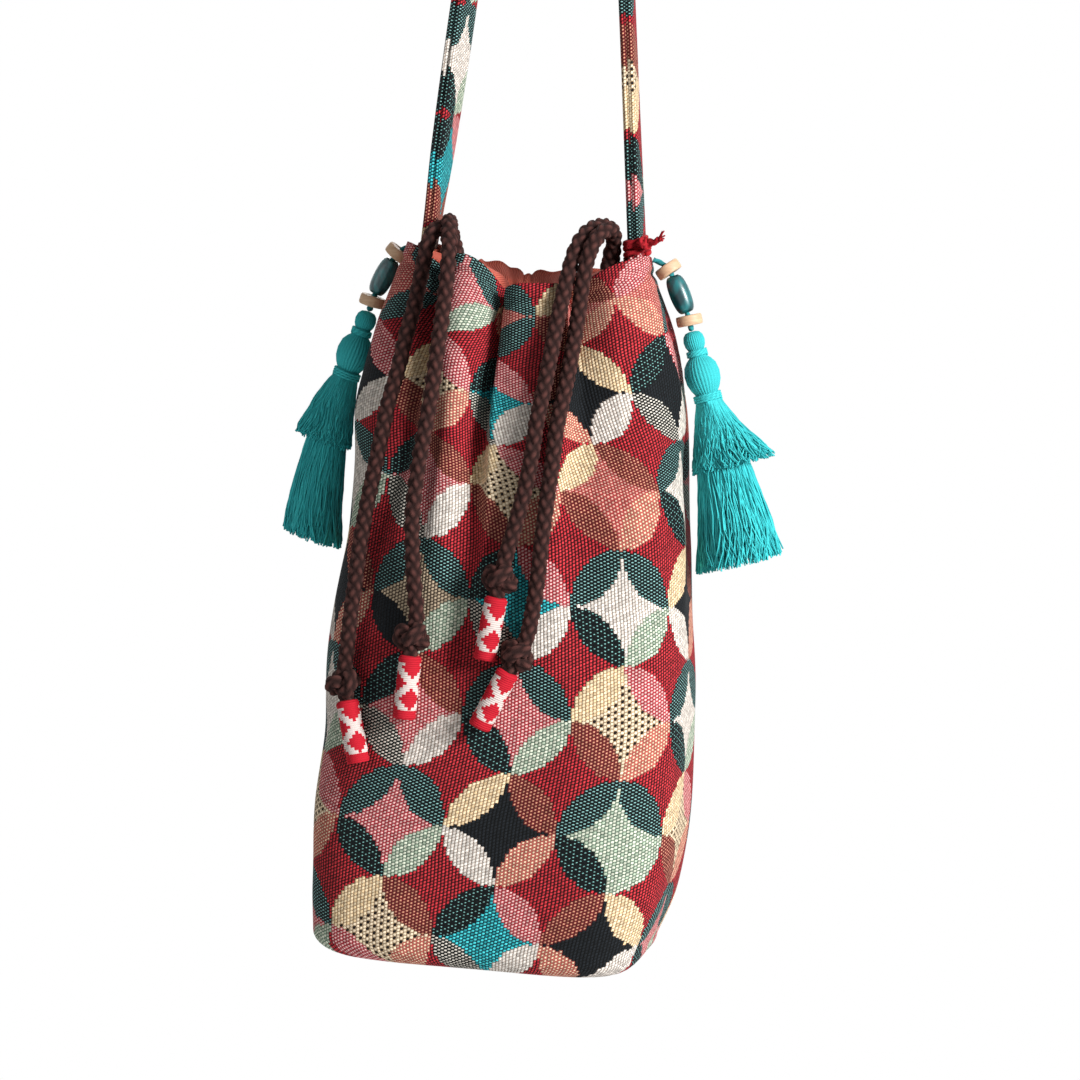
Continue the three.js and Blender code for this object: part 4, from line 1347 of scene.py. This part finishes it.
def makeTie():
    bm = bmesh.new()
    radius, sides, plies, twist = tie["yarn"]
    for path in [tieTurns()] + [tieLap(lap) for lap in range(tie["laps"])]:
        sweep(bm, path, plied(radius, sides, plies, twist))
    # one tail goes up and out, and its end has come apart into threads
    tail = [Vector(tie["knot"]) + Vector(p) for p in tie["tail"]]
    sweep(bm, curved(tail, tie["tailStep"]), plied(radius * tie["tailSwell"], sides, plies, twist))
    threads = []
    for i in range(tie["fray"]):
        spread = Vector([draw.uniform(*reach) for reach in tie["frayReach"]])
        threads.append([tail[2], tail[3] + spread * tie["frayPart"], tail[3] + spread])
    bm.from_mesh(yarns(threads, [draw.uniform(*tie["frayTint"]) for thread in threads], tie["thread"]))
    piece("strap_tie_yarn", bm, redYarn, "bag", ["strap_tie"])


makeTie()
print("strap made")

# Tassels: string, three beads, and a bundle of yarn with a ball, a short tier and a long skirt
tassel = {
    "root": (0.04667, 0, -0.25),
    "beads": [
        ("upper_disc", (0.0526, 0, -0.25329), (0.61566, 0, -0.78801)),
        ("oval", (0.05761, 0, -0.26245), (0.42262, 0, -0.90631)),
        ("lower_disc", (0.06172, 0, -0.27208), (0.25882, 0, -0.96593)),
    ],
    "pivot": (0.0625, 0, -0.27498),
    "tilt": 17,
    # string: a point where it bends, step along it, radius, sides, plies and length of a twist, knot and end
    "stringBend": (0.0497, 0, -0.2511),
    "stringStep": 0.0003,
    "string": (0.0011, 12, 2, 0.003),
    "stringKnot": 0.00132,
    "stringEnd": 0.00001,
    # beads: radius and length, hole, points of the outline, steps round, and roundness of the outline
    "disc": (0.005, 0.004),
    "oval": (0.004, 0.015),
    "hole": 0.00125,
    "beadPoints": 16,
    "beadSteps": 48,
    "discRound": (0.0008, 0.6),
    "ovalRound": 0.62,
    "ovalHole": 0.92,
    "yarn": 0.0003,
    # strands of the skirt in three layers: number, share of the spread, share of the neck
    "skirtLayers": ((520, 1.0, 0.95), (340, 0.85, 0.85), (180, 0.62, 0.7)),
    # strands of the tier in two layers: number, share of the flare
    "tierLayers": ((380, 1.0), (260, 0.6)),
    "strandSteps": 10,
    # a strand's wave: start, reach, speed in and out, speed sideways, and the radius it is bent about
    "wave": {"phase": (0, 6.28), "ripple": (0.0003, 0.0013), "inOut": 9, "aside": 10, "about": 0.006},
    "shadeAndTone": (0.1, 0.9),
    "hangBack": {"left": 0.0085, "right": 0.003},
    "fullness": {"left": 0.6, "right": 1.0},
    "skirtStart": 0.0288,
    "skirtEnd": 0.0908,
    "skirtNeck": 0.0042,
    "skirtSpread": 0.0123,
    "skirtCurve": 0.85,
    # chance in a skirt's strand: place round, length, twist and spread, and how far up it starts
    "skirtChance": ((-0.5, 0.5), (-0.0024, 0.0012), (-0.15, 0.15), (0.9, 1.0)),
    "skirtTuck": 0.001,
    "tierStart": 0.0291,
    "tierLength": 0.025,
    # chance in a tier's strand: place round, share of the length, share of the flare and twist
    "tierChance": ((-0.5, 0.5), (0.9, 1.03), (0.85, 1.02), (-0.12, 0.12)),
    "tierTuck": 0.0006,
    # the tier's stand-off from the skirt in yarns, its least flare, and how the flare gathers on one side
    "tierOff": 1.6,
    "tierLeast": 0.0006,
    "flareSide": 1.5,
    # how far the tier stands out at its hem, and how late on its way down
    "tierFlare": {"left": 0.0036, "right": 0.0085},
    "flareCurve": {"left": 0.7, "right": 1.6},
    # distance down the bundle and radius of the head, neck, ball and lower neck
    "bundle": [
        (0.0014, 0.0012), (0.0018, 0.0026), (0.003, 0.0036), (0.005, 0.004), (0.007, 0.0037),
        (0.0084, 0.003), (0.0098, 0.0028), (0.0112, 0.0032), (0.0125, 0.0046), (0.0145, 0.006),
        (0.0178, 0.0067), (0.021, 0.0064), (0.0236, 0.0054), (0.0252, 0.0044), (0.027, 0.0042),
        (0.0288, 0.0042), (0.031, 0.0048),
    ],
    # yarns on the bundle: number, points for each, then depth, bias, radius of full depth, and twist
    "ridges": 30,
    "ridgePoints": 5,
    "ridge": (0.00035, 0.6, 0.004, 8),
    # bindings: distance down from and to, and radius, then their turns, steps in a turn and yarn
    "bindings": {"head": (0.0089, 0.011, 0.0036), "ball": (0.0258, 0.0286, 0.005)},
    "bindingTurns": 3,
    "bindingSteps": 32,
    "bindingYarn": (0.00058, 8, 2, 0.002),
}


def lathe(profile, place, axis, steps):
    # a closed outline of (radius, height) pairs turned about an axis
    bm = bmesh.new()
    verts = [bm.verts.new((radius, 0, height)) for radius, height in profile]
    edges = [bm.edges.new((verts[i], verts[(i + 1) % len(verts)])) for i in range(len(verts))]
    bmesh.ops.spin(bm, geom=verts + edges, cent=(0, 0, 0), axis=(0, 0, 1), angle=2 * math.pi, steps=steps,
                   use_merge=True)
    turned = Vector(axis).to_track_quat("Z", "X").to_matrix().to_4x4()
    bmesh.ops.transform(bm, matrix=Matrix.Translation(place) @ turned, verts=bm.verts)
    return bm


def beadProfile(radius, length, oval):
    hole, points = tassel["hole"], tassel["beadPoints"]
    edge, discPower = tassel["discRound"]
    outline = []
    for i in range(points + 1):
        angle = math.pi * (i / points - 0.5)
        c, s = math.cos(angle), math.sin(angle)
        if oval:
            outline.append((hole + (radius - hole) * c ** tassel["ovalRound"], length / 2 * s))
        else:
            outline.append((radius - edge + edge * c ** discPower, length / 2 * squared(s, discPower)))
    end = length / 2 * (tassel["ovalHole"] if oval else 1)
    return outline + [(hole, end), (hole, -end)]


def mirrored(point, sign):
    return Vector((point[0] * sign, point[1], point[2]))


def tasselAxes(sign):
    # the pivot, the way down the tassel and the way out from the bag
    tilt = math.radians(tassel["tilt"])
    down = Vector((sign * math.sin(tilt), 0, -math.cos(tilt)))
    out = Vector((sign * math.cos(tilt), 0, math.sin(tilt)))
    return mirrored(tassel["pivot"], sign), down, out


def spotAt(axes, distance, radius, turn):
    pivot, down, out = axes
    front = Vector((0, -1, 0))
    return pivot + down * distance + (out * math.cos(turn) + front * math.sin(turn)) * radius


def makeString(side, sign, axes):
    # a round knot on the lower end, which the head of the tassel turns on
    pivot, down, out = axes
    knot = tassel["stringKnot"]
    stops = [tassel["root"], tassel["stringBend"]] + [place for name, place, axis in tassel["beads"]]
    route = [mirrored(stop, sign) for stop in stops] + [pivot, pivot + down * knot]
    route = curved(route, tassel["stringStep"])
    length = lengthOf(route)
    yarn = plied(*tassel["string"])

    def knotted(run):
        above = length - knot - run
        ball = math.sqrt(max(knot ** 2 - above ** 2, tassel["stringEnd"] ** 2)) / tassel["string"][0]
        swell = max(ball, 1) if above > 0 else ball
        return [(a * swell, b * swell, shadeAndTone) for a, b, shadeAndTone in yarn(run)]

    bm = bmesh.new()
    sweep(bm, route, knotted)
    piece(side + "_string_yarn", bm, stringYarn, side + "_string", [side + "_tassel_cord"])


def makeBeads(side, sign):
    for name, place, axis in tassel["beads"]:
        oval = name == "oval"
        radius, length = tassel["oval" if oval else "disc"]
        profile = beadProfile(radius, length, oval)
        bm = lathe(profile, mirrored(place, sign), mirrored(axis, sign), tassel["beadSteps"])
        piece(side + "_" + name + "_shape", bm, tealBead if oval else wood, side + "_" + name,
              [side + "_" + name + "_bead"])


def strand(side, axes, start, end, turn, sway, neck, spread, flare):
    # one yarn of the skirt or tier, a little wavy, whose lower end hangs back towards the bag
    wave = tassel["wave"]
    phase, ripple = draw.uniform(*wave["phase"]), draw.uniform(*wave["ripple"])
    skirtLength = tassel["skirtEnd"] - tassel["skirtStart"]
    full = tassel["skirtSpread"] * tassel["fullness"][side] * spread
    path = []
    for p in range(tassel["strandSteps"] + 1):
        way = p / tassel["strandSteps"]
        distance = mix(start, end, way)
        skirtWay = max(0, (distance - tassel["skirtStart"]) / skirtLength)
        radius = neck + full * skirtWay ** tassel["skirtCurve"] + flare * way ** tassel["flareCurve"][side]
        radius += ripple * math.sin(phase * 2 + wave["inOut"] * way) * way
        bend = sway * way + ripple / wave["about"] * math.sin(phase + wave["aside"] * way) * way
        point = spotAt(axes, distance, radius, turn + bend)
        path.append(point - axes[2] * tassel["hangBack"][side] * skirtWay ** 2)
    return path


def tasselPiece(side, name, bm, node):
    piece(side + name, bm, tasselYarn, side + "_tassel", [side + node])


def addStrands(bm, paths):
    bm.from_mesh(yarns(paths, [draw.uniform(*tassel["shadeAndTone"]) for path in paths], tassel["yarn"]))


def makeBundle(side, axes):
    # head, ball and skirt in one bundle
    profile, around = tassel["bundle"], tassel["ridges"] * tassel["ridgePoints"]
    deep, bias, fullRadius, twist = tassel["ridge"]
    rings = []
    for distance, radius in profile:
        ring = []
        for i in range(around):
            turn = 2 * math.pi * i / around
            ridge = abs(math.cos(tassel["ridges"] * (turn + distance * twist) / 2)) - bias
            ring.append(spotAt(axes, distance, radius + deep * ridge * min(1, radius / fullRadius), turn))
        rings.append(ring)
    bm = bmesh.new()
    loft(bm, rings, lambda level, i, middle: (i / around, profile[level][0]), (True, True))
    aside, longer, twisted, fuller = tassel["skirtChance"]
    paths = []
    for strands, spread, neck in tassel["skirtLayers"]:
        for i in range(strands):
            turn = 2 * math.pi * (i + draw.uniform(*aside)) / strands
            end = tassel["skirtEnd"] + draw.uniform(*longer)
            sway = draw.uniform(*twisted)
            paths.append(strand(side, axes, tassel["skirtStart"] - tassel["skirtTuck"], end, turn, sway,
                                tassel["skirtNeck"] * neck, spread * draw.uniform(*fuller), 0))
    addStrands(bm, paths)
    tasselPiece(side, "_tassel_yarn", bm, "_tassel_bundle")


def makeTier(side, axes):
    # short tier over the skirt, flared on the side away from the bag
    aside, longer, flared, twisted = tassel["tierChance"]
    neck = tassel["skirtNeck"] + tassel["yarn"] * tassel["tierOff"]
    paths = []
    for strands, flareShare in tassel["tierLayers"]:
        for i in range(strands):
            turn = 2 * math.pi * (i + draw.uniform(*aside)) / strands
            end = tassel["tierStart"] + tassel["tierLength"] * draw.uniform(*longer)
            outward = max(0, math.cos(turn)) ** tassel["flareSide"]
            flare = tassel["tierFlare"][side] * flareShare * outward * draw.uniform(*flared)
            paths.append(strand(side, axes, tassel["tierStart"] - tassel["tierTuck"], end, turn,
                                draw.uniform(*twisted), neck, 1.0, flare + tassel["tierLeast"]))
    bm = bmesh.new()
    addStrands(bm, paths)
    tasselPiece(side, "_tier_yarn", bm, "_tassel_tier")


def makeBindings(side, axes):
    steps = tassel["bindingSteps"]
    count = tassel["bindingTurns"] * steps
    for name, (low, high, radius) in tassel["bindings"].items():
        path = []
        for i in range(count + 1):
            path.append(spotAt(axes, mix(low, high, i / count), radius, 2 * math.pi * i / steps))
        bm = bmesh.new()
        sweep(bm, path, plied(*tassel["bindingYarn"]))
        tasselPiece(side, "_" + name + "_binding_yarn", bm, "_" + name + "_binding")


for side, sign in (("left", -1), ("right", 1)):
    axes = tasselAxes(sign)
    makeString(side, sign, axes)
    makeBeads(side, sign)
    makeBundle(side, axes)
    makeTier(side, axes)
    makeBindings(side, axes)
print("tassels made")

# Floor, well below the hanging bag, and soft studio light from the right
studio = {
    "floor": -0.875,
    "floorReach": 1.0,
    "floorSides": 64,
    "paper": linear(236, 236, 236),
    "aim": (0, 0, -0.38),
    "key": {"place": (1.65, -1.0, 0.42), "size": 0.65, "power": 72},
    "fill": {"place": (-1.4, -1.2, 0.1), "size": 1.2, "power": 5},
    "back": {"place": (-0.3, 1.8, 0.4), "size": 1.4, "power": 18},
    "world": 0.17,
}


def makeStudio():
    bm = bmesh.new()
    bmesh.ops.create_circle(bm, cap_ends=True, segments=studio["floorSides"], radius=studio["floorReach"],
                            matrix=Matrix.Translation((0, 0, studio["floor"])))
    mesh = bpy.data.meshes.new("floor")
    bm.to_mesh(mesh)
    bm.free()
    paper = newMaterial("paper", clothRoughness)[0]
    paper.node_tree.nodes["Principled BSDF"].inputs["Base Color"].default_value = studio["paper"]
    mesh.materials.append(paper)
    floor = bpy.data.objects.new("floor", mesh)
    scene.collection.objects.link(floor)
    for name in ("key", "fill", "back"):
        settings = studio[name]
        lamp = bpy.data.lights.new(name, "AREA")
        lamp.size = settings["size"]
        lamp.energy = settings["power"]
        made = bpy.data.objects.new(name, lamp)
        scene.collection.objects.link(made)
        place = Vector(settings["place"])
        made.location = place
        made.rotation_euler = (place - Vector(studio["aim"])).to_track_quat("Z", "Y").to_euler()
    world = bpy.data.worlds.new("studio")
    scene.world = world
    world.use_nodes = True
    tree = world.node_tree
    rays = addNode(tree, "LightPath")
    camera, glossy, through = (Field(rays.outputs["Is " + kind + " Ray"])
                               for kind in ("Camera", "Glossy", "Transmission"))
    seen = camera.most(glossy.most(through))
    feed(tinted(seen, grey(studio["world"]), grey(1.0)), tree.nodes["Background"].inputs["Color"])


makeStudio()
